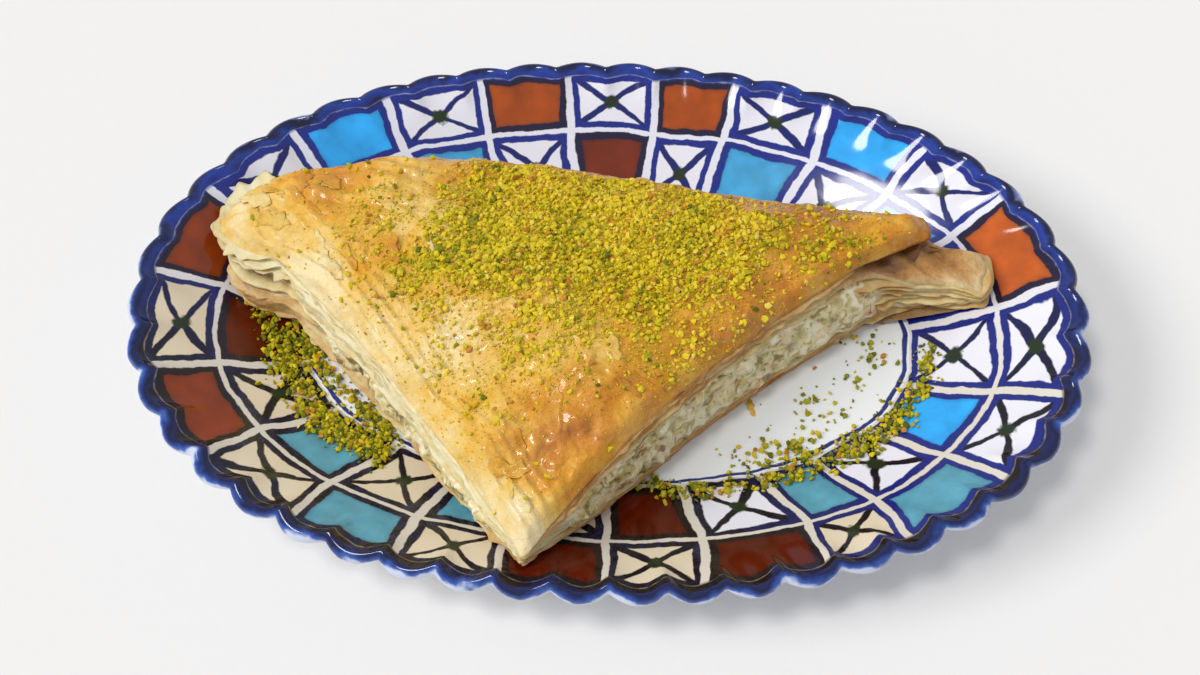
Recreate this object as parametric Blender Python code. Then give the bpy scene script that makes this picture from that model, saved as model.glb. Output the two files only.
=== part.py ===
# A folded triangle of baklava on the painted oval plate that it is served on.
# Metres, +Z up. The origin is on the table under the middle of the plate, X runs along
# the plate, and the pastry's near tip points to -Y.
import math
import random

import bmesh
import bpy
import numpy as np
from mathutils import Vector, noise

# Plate of glazed stoneware. A level of its section is named by its half length along X.
WELL_HALF_LENGTH = 0.0654
WELL_HALF_WIDTH = 0.0356
WIDTH_GROWTH = 0.85  # how fast the half width grows with the half length outside the well
WELL_HEIGHT = 0.0061
BRIM_HALF_LENGTH = 0.0983
BRIM_RISE = 0.0140
BRIM_CURVE = 1.40  # 1 is a straight slope, more is hollow like a dish
PLATE_WALL = 0.0040
LIP_RADIUS = 0.0018
LOBES = 46
LOBE_DEPTH = 0.0011  # each lobe stands out and the notch between goes in by this much
LOBE_DROP = 0.0004
LOBE_PHASE = 0.23  # share of one lobe from +X to the first peak
LOBE_START = 0.0880  # half length where the fluting begins
FOOT_OUTER = 0.0590
FOOT_INNER = 0.0545
FOOT_HEIGHT = 0.0018
PATTERN_RING = 0.0835  # half length of the middle line of the painted band
WELL_SHIFT = 0.0006  # the well sits this far off the rim's middle, to +Y
SQUARENESS = 2.10  # of every plan ring, where 2 is a plain ellipse
RIM_POINTS = 4 * LOBES
WELL_LEVELS = (0.0340, 0.0560, WELL_HALF_LENGTH)  # half lengths where the section has rings
BRIM_LEVELS = (0.0705, 0.0765, 0.0825, 0.0885, 0.0940)
UNDER_LEVELS = (0.0945, 0.0860, 0.0770, 0.0675)
UNDER_FLUTING = 0.7  # how much of the fluting shows on the underside
LIP_ANGLES = (75, 15, -50)  # degrees round the lip's section, from level
FOOT_TAPER = 0.0010

# Pastry. Each corner of its plan is (crust x, crust y, crust height, base x, base y).
NEAR_TIP = (-0.0141, -0.0589, 0.0230, -0.0145, -0.0586)
RIGHT_SHOULDER = (0.0531, 0.0087, 0.0262, 0.0596, 0.0079)
RIGHT_END_NEAR = (0.0683, 0.0185, 0.0222, 0.0771, 0.0075)
RIGHT_END_FAR = (0.0677, 0.0235, 0.0222, 0.0785, 0.0159)
LEFT_FOLD_END = (-0.0764, 0.0266, 0.0226, -0.0754, 0.0222)
LEFT_END_FAR = (-0.0853, 0.0175, 0.0208, -0.0804, 0.0102)
LEFT_END_NEAR = (-0.0784, 0.0111, 0.0212, -0.0777, 0.0031)
LEFT_SHOULDER = (-0.0704, 0.0073, 0.0236, -0.0677, 0.0023)
# Each side is (start, end, points, crust bow, base bow, extra height in the middle, bulge).
PASTRY_SIDES = (
    (NEAR_TIP, RIGHT_SHOULDER, 22, -0.0035, -0.0016, 0.0046, 0.0),
    (RIGHT_SHOULDER, RIGHT_END_NEAR, 4, 0.0, -0.0012, 0.0, 0.0),
    (RIGHT_END_NEAR, RIGHT_END_FAR, 3, 0.0004, 0.0006, 0.0, 0.0),
    (RIGHT_END_FAR, LEFT_FOLD_END, 20, 0.0052, 0.0030, 0.0044, 0.0056),
    (LEFT_FOLD_END, LEFT_END_FAR, 4, 0.0010, 0.0008, 0.0, 0.0),
    (LEFT_END_FAR, LEFT_END_NEAR, 3, 0.0006, 0.0008, 0.0, 0.0),
    (LEFT_END_NEAR, LEFT_SHOULDER, 3, 0.0, 0.0004, 0.0, 0.0),
    (LEFT_SHOULDER, NEAR_TIP, 19, -0.0020, -0.0018, 0.0038, 0.0),
)
FOLD_SKEW = 1.8  # over 1 moves the fold's highest and furthest part to the left
CROWN = (-0.0089, -0.0043, 0.0350)  # the highest point of the crust
CRUST_RINGS = (0.18, 0.36, 0.54, 0.71, 0.86, 0.96)
BASE_RINGS = (0.88, 0.66, 0.44, 0.22)
WALL_ROWS = (0.13, 0.35, 0.57, 0.79)  # share of the way down from crust to base
FLAKE_DEPTH = 0.0006
FLAKE_SEED = 5
BROAD_SWELL = (0.0017, 0.0160)  # height and size of the crust's soft puffs
FINE_SWELL = (0.0007, 0.0060)
CROWN_ROUNDNESS = 0.85
LEAN_BY = 0.75  # share of the way down by which a side has reached the base's plan
TOUCH_GAP = 0.0005  # air left between the pastry and the plate
FILLING_GAP = 0.0009  # measured upwards, so it is less across a steep face

# The bottom stack of sheets, and the slot over it that holds the filling.
BOTTOM_STACK = 0.0045
RIGHT_STACK = 0.0040  # how much thicker the bottom stack gets at the right corner
RIGHT_STACK_SPAN = (0.0480, 0.0700)  # X where it starts and ends growing
LEFT_STACK = 0.0012
LEFT_STACK_SPAN = (-0.0560, -0.0720)
SLOT_HEIGHT = 0.0090
SLOT_AT_TIP = 0.0014
SLOT_AT_ENDS = 0.0026
SLOT_TIP_SPAN = (0.0160, 0.0380)  # distance from the tip where the slot starts and ends growing
SLOT_RIGHT_SPAN = (0.0760, 0.0360)  # X where it does so at the right end
SLOT_LEFT_SPAN = (-0.0840, -0.0500)
# Plans of the slot, which runs out past the open sides, and of the filling inside it.
# Each corner is (x, y, bow of the side that starts there).
SLOT_PLAN = (
    (0.0081, -0.0428, 0.0),
    (0.0671, -0.0003, 0.0),
    (0.0891, 0.0017, 0.0),
    (0.0891, 0.0217, 0.0),
    (0.0631, 0.0167, 0.0022),
    (-0.0629, 0.0172, 0.0),
    (-0.0949, 0.0142, 0.0),
    (-0.0929, -0.0043, 0.0),
    (-0.0749, -0.0063, 0.0),
    (-0.0369, -0.0428, 0.0),
    (-0.0139, -0.0383, 0.0),
)
FILLING_PLAN = (
    (0.0033, -0.0338, -0.0022),
    (0.0526, 0.0092, 0.0),
    (0.0551, 0.0138, 0.0020),
    (-0.0589, 0.0148, 0.0006),
    (-0.0654, 0.0072, 0.0),
    (-0.0644, 0.0012, -0.0014),
    (-0.0314, -0.0338, 0.0010),
)
PLAN_STEP = 0.0055
TRIM_TOP = 0.0500
SLOT_RINGS = (0.30, 0.55, 0.75, 0.90)

# Ground pistachio, in clumps big enough to see.
CRUST_CLUMPS = 110
PLATE_CLUMPS = 42
CLUMP_RADIUS = (0.0009, 0.0017)
CLUMP_SIDES = 5
CLUMP_SEED = 11
LEVEL_ENOUGH = 0.6  # a face whose normal has less Z than this is a side
CRUST_PATCH = (-0.0009, 0.0037, 0.0208, 0.0127)  # middle x, y and spread each way
# Arcs of crumbs on the plate: start and end angle, inner and outer half length, share.
PLATE_ARCS = (
    (math.radians(172), math.radians(232), 0.0600, 0.0740, 0.50),
    (math.radians(276), math.radians(352), 0.0560, 0.0700, 0.50),
)
CRUMB_CLEARANCE = 0.0030


def clear_scene():
    for item in list(bpy.data.objects):
        bpy.data.objects.remove(item, do_unlink=True)


def smooth_step(value):
    value = np.clip(value, 0.0, 1.0)
    return value * value * (3.0 - 2.0 * value)


def grow(value, span):
    """From 0 at the span's start to 1 at its end."""
    start, end = span
    return smooth_step((value - start) / (end - start))


def make_material(name, colour, roughness):
    material = bpy.data.materials.new(name)
    material.use_nodes = True
    shader = material.node_tree.nodes["Principled BSDF"]
    shader.inputs["Base Color"].default_value = (*colour, 1.0)
    shader.inputs["Roughness"].default_value = roughness
    shader.inputs["Metallic"].default_value = 0.0
    return material


def make_object(name, points, faces, material=None):
    mesh = bpy.data.meshes.new(name)
    mesh.from_pydata([tuple(map(float, point)) for point in points], [], faces)
    mesh.validate()
    mesh.shade_smooth()
    mesh.set_sharp_from_angle(angle=math.radians(40))
    if material:
        mesh.materials.append(material)
    made = bpy.data.objects.new(name, mesh)
    bpy.context.scene.collection.objects.link(made)
    return made


def bridge(inner, outer):
    """Faces between two rings of vertex numbers, where one may have twice the other's."""
    faces = []
    count = min(len(inner), len(outer))
    for i in range(count):
        j = (i + 1) % count
        if len(inner) == len(outer):
            faces.append((inner[i], outer[i], outer[j]))
            faces.append((inner[i], outer[j], inner[j]))
        elif len(outer) > len(inner):
            middle, end = outer[2 * i + 1], outer[2 * j]
            faces.append((inner[i], outer[2 * i], middle))
            faces.append((inner[i], middle, inner[j]))
            faces.append((inner[j], middle, end))
        else:
            middle, end = inner[2 * i + 1], inner[2 * j]
            faces.append((inner[2 * i], outer[i], middle))
            faces.append((middle, outer[i], outer[j]))
            faces.append((middle, outer[j], end))
    return faces


def closed_shell(top_middle, rings, bottom_middle):
    """Points and faces of a solid whose rings run outwards over the top, then back below."""
    points = [top_middle]
    rows = []
    for ring in rings:
        rows.append(list(range(len(points), len(points) + len(ring))))
        points.extend(ring)
    points.append(bottom_middle)
    last = len(points) - 1
    faces = []
    for i, number in enumerate(rows[0]):
        faces.append((0, number, rows[0][(i + 1) % len(rows[0])]))
    for inner, outer in zip(rows, rows[1:]):
        faces.extend(bridge(inner, outer))
    for i, number in enumerate(rows[-1]):
        faces.append((number, last, rows[-1][(i + 1) % len(rows[-1])]))
    return points, faces


# The plate's section: half width, shift and height for a half length.
def half_width(half_length):
    inside = WELL_HALF_WIDTH * half_length / WELL_HALF_LENGTH
    outside = WELL_HALF_WIDTH + WIDTH_GROWTH * (half_length - WELL_HALF_LENGTH)
    return np.where(half_length < WELL_HALF_LENGTH, inside, outside)


def squared(value):
    """A sine or cosine bent so that the ring it draws is a little squarer than an ellipse."""
    return np.sign(value) * np.abs(value) ** (2.0 / SQUARENESS)


def well_shift(half_length):
    share = (half_length - PATTERN_RING) / (BRIM_HALF_LENGTH - PATTERN_RING)
    return WELL_SHIFT * (1.0 - smooth_step(share))


def plate_top(half_length):
    share = (half_length - WELL_HALF_LENGTH) / (BRIM_HALF_LENGTH - WELL_HALF_LENGTH)
    return WELL_HEIGHT + BRIM_RISE * np.clip(share, 0.0, 1.0) ** BRIM_CURVE


def level_of(x, y):
    """The half length of the ring through each plan position, by halving."""
    low = np.full(np.shape(x), 0.0005)
    high = np.full(np.shape(x), 0.1200)
    for _ in range(28):
        middle = (low + high) / 2
        across = np.abs(x) / middle
        along = np.abs(y - well_shift(middle)) / half_width(middle)
        outside = across**SQUARENESS + along**SQUARENESS > 1.0
        low = np.where(outside, middle, low)
        high = np.where(outside, high, middle)
    return (low + high) / 2


def plate_height_at(x, y):
    return plate_top(level_of(x, y))


def rim_angles():
    """Ring angles of the rim's points, equally spaced along the brim."""
    fine = np.linspace(0.0, 2 * math.pi, 4001)
    x = BRIM_HALF_LENGTH * squared(np.cos(fine))
    y = half_width(BRIM_HALF_LENGTH) * squared(np.sin(fine))
    run = np.concatenate([[0.0], np.cumsum(np.hypot(np.diff(x), np.diff(y)))])
    wanted = np.arange(RIM_POINTS) / RIM_POINTS * run[-1]
    return np.interp(wanted, run, fine)


def plate_ring(half_length, height, count, fluting=0.0):
    step = RIM_POINTS // count
    angle = rim_angles()[::step]
    turn = np.arange(0, RIM_POINTS, step) / RIM_POINTS * LOBES
    lobe = np.cos(2 * math.pi * (turn - LOBE_PHASE)) * fluting
    x = (half_length + LOBE_DEPTH * lobe) * squared(np.cos(angle))
    y = (half_width(half_length) + LOBE_DEPTH * lobe) * squared(np.sin(angle))
    return np.stack([x, y + well_shift(half_length), height - LOBE_DROP * lobe], axis=1)


def fluting_at(half_length):
    return float(smooth_step((half_length - LOBE_START) / (BRIM_HALF_LENGTH - LOBE_START)))


def plate_rings():
    rings = []
    for level in WELL_LEVELS:
        rings.append(plate_ring(level, float(plate_top(level)), LOBES))
    for level in BRIM_LEVELS:
        rings.append(plate_ring(level, float(plate_top(level)), 2 * LOBES, fluting_at(level)))
    lip_height = WELL_HEIGHT + BRIM_RISE - LIP_RADIUS
    for angle in LIP_ANGLES:
        level = BRIM_HALF_LENGTH + LIP_RADIUS * math.cos(math.radians(angle))
        height = lip_height + LIP_RADIUS * math.sin(math.radians(angle))
        rings.append(plate_ring(level, height, RIM_POINTS, 1.0))
    for level in UNDER_LEVELS:
        height = float(plate_top(level)) - PLATE_WALL
        rings.append(plate_ring(level, height, 2 * LOBES, fluting_at(level) * UNDER_FLUTING))
    rings.append(plate_ring(FOOT_OUTER + FOOT_TAPER, WELL_HEIGHT - PLATE_WALL, LOBES))
    rings.append(plate_ring(FOOT_OUTER, 0.0, LOBES))
    rings.append(plate_ring(FOOT_INNER, 0.0, LOBES))
    rings.append(plate_ring(FOOT_INNER - FOOT_TAPER, FOOT_HEIGHT, LOBES))
    return rings


def side_points(side):
    """Crust and base points of one side of the pastry, without its end corner."""
    start, end, count, crust_bow, base_bow, lift, bulge = side
    share = np.arange(count) / count
    arch = np.sin(math.pi * share ** (FOLD_SKEW if bulge else 1.0))
    start = np.array(start)
    end = np.array(end)
    line = start + (end - start) * share[:, None]
    crust_run = end[:2] - start[:2]
    base_run = end[3:] - start[3:]
    crust_out = np.array([crust_run[1], -crust_run[0]]) / np.hypot(*crust_run)
    base_out = np.array([base_run[1], -base_run[0]]) / np.hypot(*base_run)
    crust = np.empty((count, 3))
    crust[:, :2] = line[:, :2] + crust_out * (crust_bow * arch)[:, None]
    crust[:, 2] = line[:, 2] + lift * arch
    base = line[:, 3:] + base_out * (base_bow * arch)[:, None]
    return crust, base, crust_out * (bulge * np.sin(math.pi * share) ** 0.6)[:, None]


def pastry_outline():
    parts = [side_points(side) for side in PASTRY_SIDES]
    crust = np.concatenate([part[0] for part in parts])
    base = np.concatenate([part[1] for part in parts])
    bulge = np.concatenate([part[2] for part in parts])
    base_height = plate_height_at(base[:, 0], base[:, 1]) + TOUCH_GAP
    return crust, np.column_stack([base, base_height]), bulge


def swell(points, puff):
    """Height to add at each point, as soft puffs of the given height and size."""
    depth, size = puff
    puffs = [noise.noise(Vector((x / size, y / size, 3.7))) for x, y in points[:, :2]]
    return depth * np.array(puffs)


def crust_ring(crust, share):
    middle = np.array(CROWN)
    ring = middle + (crust - middle) * share
    ring[:, 2] = crust[:, 2] + (middle[2] - crust[:, 2]) * (1.0 - share**2) ** CROWN_ROUNDNESS
    ring[:, 2] += swell(ring, BROAD_SWELL) + swell(ring, FINE_SWELL)
    return ring


def wall_row(crust, base, bulge, share, flakes):
    """A level of the side: it leans out to the base's plan, and rounds at the fold."""
    lean = smooth_step(share / LEAN_BY)
    row = crust + (base - crust) * share
    row[:, :2] = crust[:, :2] + (base[:, :2] - crust[:, :2]) * lean
    row[:, :2] += bulge * math.sin(math.pi * share) ** 0.75
    outwards = row[:, :2] - np.array(CROWN[:2])
    outwards /= np.linalg.norm(outwards, axis=1)[:, None]
    row[:, :2] += outwards * (flakes * FLAKE_DEPTH)[:, None]
    floor = plate_height_at(row[:, 0], row[:, 1]) + TOUCH_GAP
    row[:, 2] = np.maximum(row[:, 2], floor)
    return row


def base_ring(base, share):
    middle = np.array(CROWN[:2])
    plan = middle + (base[:, :2] - middle) * share
    return np.column_stack([plan, plate_height_at(plan[:, 0], plan[:, 1]) + TOUCH_GAP])


def pastry_shell():
    crust, base, bulge = pastry_outline()
    draw = np.random.default_rng(FLAKE_SEED)
    rings = [crust_ring(crust, share) for share in CRUST_RINGS]
    rings.append(crust)
    for number, share in enumerate(WALL_ROWS):
        sheet = 1.0 if number % 2 else -1.0
        rings.append(wall_row(crust, base, bulge, share, sheet + draw.uniform(-1, 1, len(crust))))
    rings.append(base)
    rings.extend(base_ring(base, share) for share in BASE_RINGS)
    floor = float(plate_height_at(CROWN[0], CROWN[1])) + TOUCH_GAP
    return closed_shell(CROWN, rings, (CROWN[0], CROWN[1], floor))


def stack_top(x, y):
    """Height of the bottom stack's upper face, thicker towards the two far corners."""
    thickness = BOTTOM_STACK + RIGHT_STACK * grow(x, RIGHT_STACK_SPAN)
    thickness += LEFT_STACK * grow(x, LEFT_STACK_SPAN)
    return plate_height_at(x, y) + TOUCH_GAP + thickness


def slot_depth(x, y):
    """Height of the slot: full in the middle, shallow at the tip and the far corners."""
    from_tip = np.hypot(x - NEAR_TIP[0], y - NEAR_TIP[1])
    inside_ends = grow(x, SLOT_RIGHT_SPAN) * grow(x, SLOT_LEFT_SPAN)
    depth = SLOT_AT_ENDS + (SLOT_HEIGHT - SLOT_AT_ENDS) * inside_ends
    return SLOT_AT_TIP + (depth - SLOT_AT_TIP) * grow(from_tip, SLOT_TIP_SPAN)


def plan_outline(corners):
    """Plan points along sides between corners, each side bowed out or in like an arch."""
    points = []
    for start, end in zip(corners, (*corners[1:], corners[0])):
        run = np.array(end[:2]) - np.array(start[:2])
        count = math.ceil(np.hypot(*run) / PLAN_STEP)
        share = np.arange(count)[:, None] / count
        out = np.array([run[1], -run[0]]) / np.hypot(*run)
        points.append(np.array(start[:2]) + run * share + out * start[2] * np.sin(math.pi * share))
    return np.concatenate(points)


def slot_shell(outline, gap):
    """A closed lens between the bottom stack and the top one, drawn in by a gap."""
    middle = np.array(CROWN[:2])
    above = []
    below = []
    for share in (*SLOT_RINGS, 1.0):
        plan = middle + (outline - middle) * share
        low = stack_top(plan[:, 0], plan[:, 1])
        high = low + slot_depth(plan[:, 0], plan[:, 1])
        above.append(np.column_stack([plan, high - gap]))
        below.append(np.column_stack([plan, low + gap]))
    low = float(stack_top(*CROWN[:2]))
    high = low + float(slot_depth(*CROWN[:2]))
    top_middle = (CROWN[0], CROWN[1], high - gap)
    return closed_shell(top_middle, above + below[::-1], (CROWN[0], CROWN[1], low + gap))


def make_filling():
    """The slot's own form with a gap above and below, trimmed to the filling's plan."""
    cream = make_material("pistachio_cream", (0.62, 0.60, 0.36), 0.55)
    filling = make_object("filling", *slot_shell(plan_outline(SLOT_PLAN), FILLING_GAP), cream)
    plan = plan_outline(FILLING_PLAN)
    levels = [np.column_stack([plan, np.full(len(plan), z)]) for z in (TRIM_TOP, 0.0)]
    trim = closed_shell((*CROWN[:2], TRIM_TOP), levels, (*CROWN[:2], 0.0))
    cut(filling, "INTERSECT", make_object("filling_trim", *trim))
    return filling


def clump_mesh(draw, place, radius):
    """One clump of ground nut: an uneven double pyramid."""
    start = draw.uniform(0, 2 * math.pi)
    points = []
    for corner in range(CLUMP_SIDES):
        angle = start + 2 * math.pi * corner / CLUMP_SIDES
        reach = radius * draw.uniform(0.75, 1.1)
        height = radius * draw.uniform(-0.15, 0.25)
        points.append((reach * math.cos(angle), reach * math.sin(angle), height))
    lean = [0.3 * radius * draw.uniform(-1, 1) for _ in range(2)]
    points.append((*lean, radius * draw.uniform(0.7, 0.95)))
    points.append((0.0, 0.0, -radius))
    top, bottom = CLUMP_SIDES, CLUMP_SIDES + 1
    faces = []
    for i in range(CLUMP_SIDES):
        j = (i + 1) % CLUMP_SIDES
        faces.extend([(i, j, top), (j, i, bottom)])
    return np.array(points) + np.array(place), faces


def surface_height(target, x, y):
    """Height of the solid's upper face over a plan position, or None off that face."""
    found, place, normal, _ = target.ray_cast((x, y, 1.0), (0.0, 0.0, -1.0))
    return place.z if found and normal.z > LEVEL_ENOUGH else None


def crust_clumps(draw, pastry):
    """Clumps on the crust, thickest in the middle of the patch and thinning outwards."""
    clumps = []
    while len(clumps) < CRUST_CLUMPS:
        x, y, spread_x, spread_y = CRUST_PATCH
        x += draw.gauss(0.0, spread_x)
        y += draw.gauss(0.0, spread_y)
        radius = draw.uniform(*CLUMP_RADIUS)
        height = surface_height(pastry, x, y)
        if height is not None:
            clumps.append(clump_mesh(draw, (x, y, height), radius))
    return clumps


def inside_base(x, y, margin):
    _, base, _ = pastry_outline()
    middle = np.array(CROWN[:2])
    around = np.arctan2(base[:, 1] - middle[1], base[:, 0] - middle[0])
    order = np.argsort(around)
    reach = np.linalg.norm(base[:, :2] - middle, axis=1)[order]
    angle = math.atan2(y - middle[1], x - middle[0])
    edge = np.interp(angle, around[order], reach, period=2 * math.pi)
    return math.hypot(x - middle[0], y - middle[1]) < edge + margin


def plate_clumps(draw, plate):
    """Crumbs on the plate, in two arcs beside the pastry's open sides."""
    clumps = []
    for start, end, inner, outer, share in PLATE_ARCS:
        wanted = len(clumps) + round(PLATE_CLUMPS * share)
        while len(clumps) < wanted:
            level = draw.uniform(inner, outer)
            angle = draw.uniform(start, end)
            x = level * math.cos(angle)
            y = float(well_shift(level)) + float(half_width(level)) * math.sin(angle)
            radius = draw.uniform(*CLUMP_RADIUS)
            if inside_base(x, y, CRUMB_CLEARANCE):
                continue
            clumps.append(clump_mesh(draw, (x, y, surface_height(plate, x, y)), radius))
    return clumps


def fuse(target, clumps):
    """Joins loose shapes to the target by one union, then takes them out of the scene."""
    group = bpy.data.collections.new(target.name + "_clumps")
    bpy.context.scene.collection.children.link(group)
    for number, (points, faces) in enumerate(clumps):
        made = make_object(f"{target.name}_clump_{number}", points, faces)
        bpy.context.scene.collection.objects.unlink(made)
        group.objects.link(made)
    union = target.modifiers.new("clumps", "BOOLEAN")
    union.operation = "UNION"
    union.solver = "MANIFOLD"
    union.operand_type = "COLLECTION"
    union.collection = group
    apply_modifiers(target)
    for made in list(group.objects):
        bpy.data.objects.remove(made, do_unlink=True)
    bpy.data.collections.remove(group)


def cut(target, operation, cutter):
    """Cuts or trims the target, then takes the cutter and any loose scrap away."""
    modifier = target.modifiers.new(cutter.name, "BOOLEAN")
    modifier.operation = operation
    modifier.solver = "MANIFOLD"
    modifier.object = cutter
    apply_modifiers(target)
    bpy.data.objects.remove(cutter, do_unlink=True)
    drop_scraps(target)


def apply_modifiers(target):
    graph = bpy.context.evaluated_depsgraph_get()
    mesh = bpy.data.meshes.new_from_object(target.evaluated_get(graph))
    target.modifiers.clear()
    target.data = mesh


def island_of(face):
    """The faces reached from one face across edges that just two faces share."""
    found = {face}
    waiting = [face]
    while waiting:
        plain_edges = [edge for edge in waiting.pop().edges if len(edge.link_faces) == 2]
        for neighbour in {face for edge in plain_edges for face in edge.link_faces} - found:
            found.add(neighbour)
            waiting.append(neighbour)
    return found


def drop_scraps(target):
    """Keeps the largest island of the mesh, because a cut can leave a loose crumb."""
    work = bmesh.new()
    work.from_mesh(target.data)
    bmesh.ops.triangulate(work, faces=work.faces)
    left = set(work.faces)
    islands = []
    while left:
        islands.append(island_of(next(iter(left))))
        left -= islands[-1]
    islands.sort(key=len)
    for island in islands[:-1]:
        bmesh.ops.delete(work, geom=list(island), context="FACES")
    work.to_mesh(target.data)
    work.free()


def make_plate(draw):
    rings = plate_rings()
    middle = (0.0, WELL_SHIFT, WELL_HEIGHT)
    under = (0.0, WELL_SHIFT, FOOT_HEIGHT)
    glaze = make_material("painted_glaze", (0.80, 0.80, 0.86), 0.12)
    plate = make_object("plate", *closed_shell(middle, rings, under), glaze)
    fuse(plate, plate_clumps(draw, plate))
    return plate


def make_pastry(draw):
    crust = make_material("baked_filo", (0.72, 0.42, 0.14), 0.35)
    pastry = make_object("pastry", *pastry_shell(), crust)
    fuse(pastry, crust_clumps(draw, pastry))
    slot = make_object("slot", *slot_shell(plan_outline(SLOT_PLAN), 0.0))
    cut(pastry, "DIFFERENCE", slot)
    return pastry


def main():
    clear_scene()
    draw = random.Random(CLUMP_SEED)
    make_plate(draw)
    make_pastry(draw)
    make_filling()


main()
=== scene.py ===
# Looks of a folded baklava triangle and the painted oval plate that it is served on.
import functools
import itertools
import math

import bpy
import numpy as np
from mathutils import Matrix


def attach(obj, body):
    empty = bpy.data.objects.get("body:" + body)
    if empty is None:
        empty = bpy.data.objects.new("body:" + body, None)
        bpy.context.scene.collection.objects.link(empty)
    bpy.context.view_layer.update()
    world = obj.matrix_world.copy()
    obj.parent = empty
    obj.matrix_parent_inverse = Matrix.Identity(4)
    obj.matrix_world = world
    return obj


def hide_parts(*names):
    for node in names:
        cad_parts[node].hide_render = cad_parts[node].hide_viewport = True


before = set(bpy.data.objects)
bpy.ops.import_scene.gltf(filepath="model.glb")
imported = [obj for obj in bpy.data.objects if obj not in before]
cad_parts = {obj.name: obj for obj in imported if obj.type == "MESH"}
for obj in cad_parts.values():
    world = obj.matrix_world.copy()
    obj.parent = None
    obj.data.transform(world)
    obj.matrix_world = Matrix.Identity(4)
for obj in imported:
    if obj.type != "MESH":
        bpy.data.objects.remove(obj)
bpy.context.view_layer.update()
mm = 0.001  # sizes are written in millimetres and multiplied by this


# Colour and node helpers
def linear(value):
    # sRGB hex to the linear colour that shaders use; a value that isn't hex stays as it is
    if not isinstance(value, str):
        return value
    parts = [int(value[i:i + 2], 16) / 255 for i in (0, 2, 4)]
    bent = [c / 12.92 if c <= 0.04045 else ((c + 0.055) / 1.055) ** 2.4 for c in parts]
    return (*bent, 1.0)


def setInputs(node, values):
    # inputs by name or number: a socket is linked, a node is linked by its first live output, and
    # any other value is set
    for name, value in values.items():
        if isinstance(value, bpy.types.Node):
            value = next(output for output in value.outputs if output.enabled)
        if isinstance(value, bpy.types.NodeSocket):
            node.id_data.links.new(value, node.inputs[name])
        else:
            node.inputs[name].default_value = linear(value)


def addNode(tree, kind, *values, stops=(), **named):
    # one node: the values fill its live inputs in order, and a name is a setting or else an input
    node = tree.nodes.new("ShaderNode" + kind)
    for name in [name for name in named if hasattr(node, name)]:
        setattr(node, name, named.pop(name))
    if stops:
        elements = node.color_ramp.elements
        elements.remove(elements[1])
        elements[0].position, elements[0].color = stops[0][0], linear(stops[0][1])
        for place, colour in stops[1:]:
            elements.new(place).color = linear(colour)
    live = (number for number, socket in enumerate(node.inputs) if socket.enabled)
    setInputs(node, {**dict(zip(live, values)), **named})
    return node


def newMaterial(name):
    # a material, addNode for its own tree, and its shader
    material = bpy.data.materials.new(name)
    material.use_nodes = True
    tree = material.node_tree
    return material, functools.partial(addNode, tree), tree.nodes["Principled BSDF"]


# Shape helpers
def ease(value):
    # 0 to 1 with flat ends: s*s*(3 - 2s)
    value = np.clip(value, 0.0, 1.0)
    return value * value * (3.0 - 2.0 * value)


def puff(points, size, seed):
    # smooth noise from -1 to 1: a random value at each corner of cubes of this size in mm, blended by
    # ease; the large primes only mix the cube's numbers and the seed
    place = points / (size * mm)
    cell = np.floor(place).astype(np.int64)
    share = ease(place - cell)
    total = np.zeros(points.shape[:-1])
    for corner in itertools.product((0, 1), repeat=3):
        key = ((cell + corner) * np.array([73856093, 19349663, 83492791])).sum(axis=-1) + seed * 9176
        key = ((key ^ (key >> 13)) * 1274126177) & 0xFFFFFFFF
        value = ((key ^ (key >> 16)) & 0xFFFF) / 0xFFFF
        total += value * np.prod(np.where(corner, share, 1.0 - share), axis=-1)
    return 2.0 * total - 1.0


def flat(x, y, z=0.0):
    # points for puff from plan positions
    x, y, z = np.broadcast_arrays(x, y, z)
    return np.stack([x, y, z], axis=-1)


def mound(x, y, middleX, middleY, reach):
    # 1 at a place given in millimetres, less round it: exp(-(distance / reach)^2)
    return np.exp(-((x / mm - middleX) ** 2 + (y / mm - middleY) ** 2) / reach ** 2)


def putMesh(name, points, faces, material, attributes=None):
    # a smooth mesh object, with a number or a vector at each point for each attribute
    mesh = bpy.data.meshes.new(name)
    mesh.from_pydata(points.tolist(), [], faces)
    mesh.materials.append(material)
    mesh.shade_smooth()
    for label, values in (attributes or {}).items():
        kind, field = ("FLOAT_VECTOR", "vector") if values.ndim == 2 else ("FLOAT", "value")
        mesh.attributes.new(label, kind, "POINT").data.foreach_set(field, values.ravel())
    piece = bpy.data.objects.new(name, mesh)
    bpy.context.scene.collection.objects.link(piece)
    return piece


def shellFaces(rowCount, around):
    # a surface of rings from the middle of the top, out and down, to the middle below; the two
    # last points are the poles
    index = np.arange(rowCount * around).reshape(rowCount, around)
    after = np.roll(index, -1, axis=1)
    quads = np.stack([index[:-1], index[1:], after[1:], after[:-1]], axis=-1).reshape(-1, 4)
    top = np.full(around, rowCount * around)
    above = np.stack([top, index[0], after[0]], axis=-1)
    below = np.stack([index[-1], top + 1, after[-1]], axis=-1)
    return quads.tolist() + above.tolist() + below.tolist()


def keep(piece, slot, *nodes):
    # every piece rides on the part's one body
    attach(piece, "root")
    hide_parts(*nodes)


# Camera at the photograph's view
camera = {
    "place": (6.3 * mm, -201.5 * mm, 346.7 * mm),
    "tilt": math.radians(30.683),  # the lens looks down from 59.3 degrees above the table
    "turn": math.radians(2.234),
    "lens": 55.0,
}


def makeCamera():
    lens = bpy.data.cameras.new("camera")
    lens.lens = camera["lens"]
    lens.sensor_width = 36.0
    lens.clip_start = 0.01
    made = bpy.data.objects.new("camera", lens)
    made.location = camera["place"]
    made.rotation_euler = (camera["tilt"], 0.0, camera["turn"])
    bpy.context.scene.collection.objects.link(made)
    bpy.context.scene.camera = made


makeCamera()
print("camera set")

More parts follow.
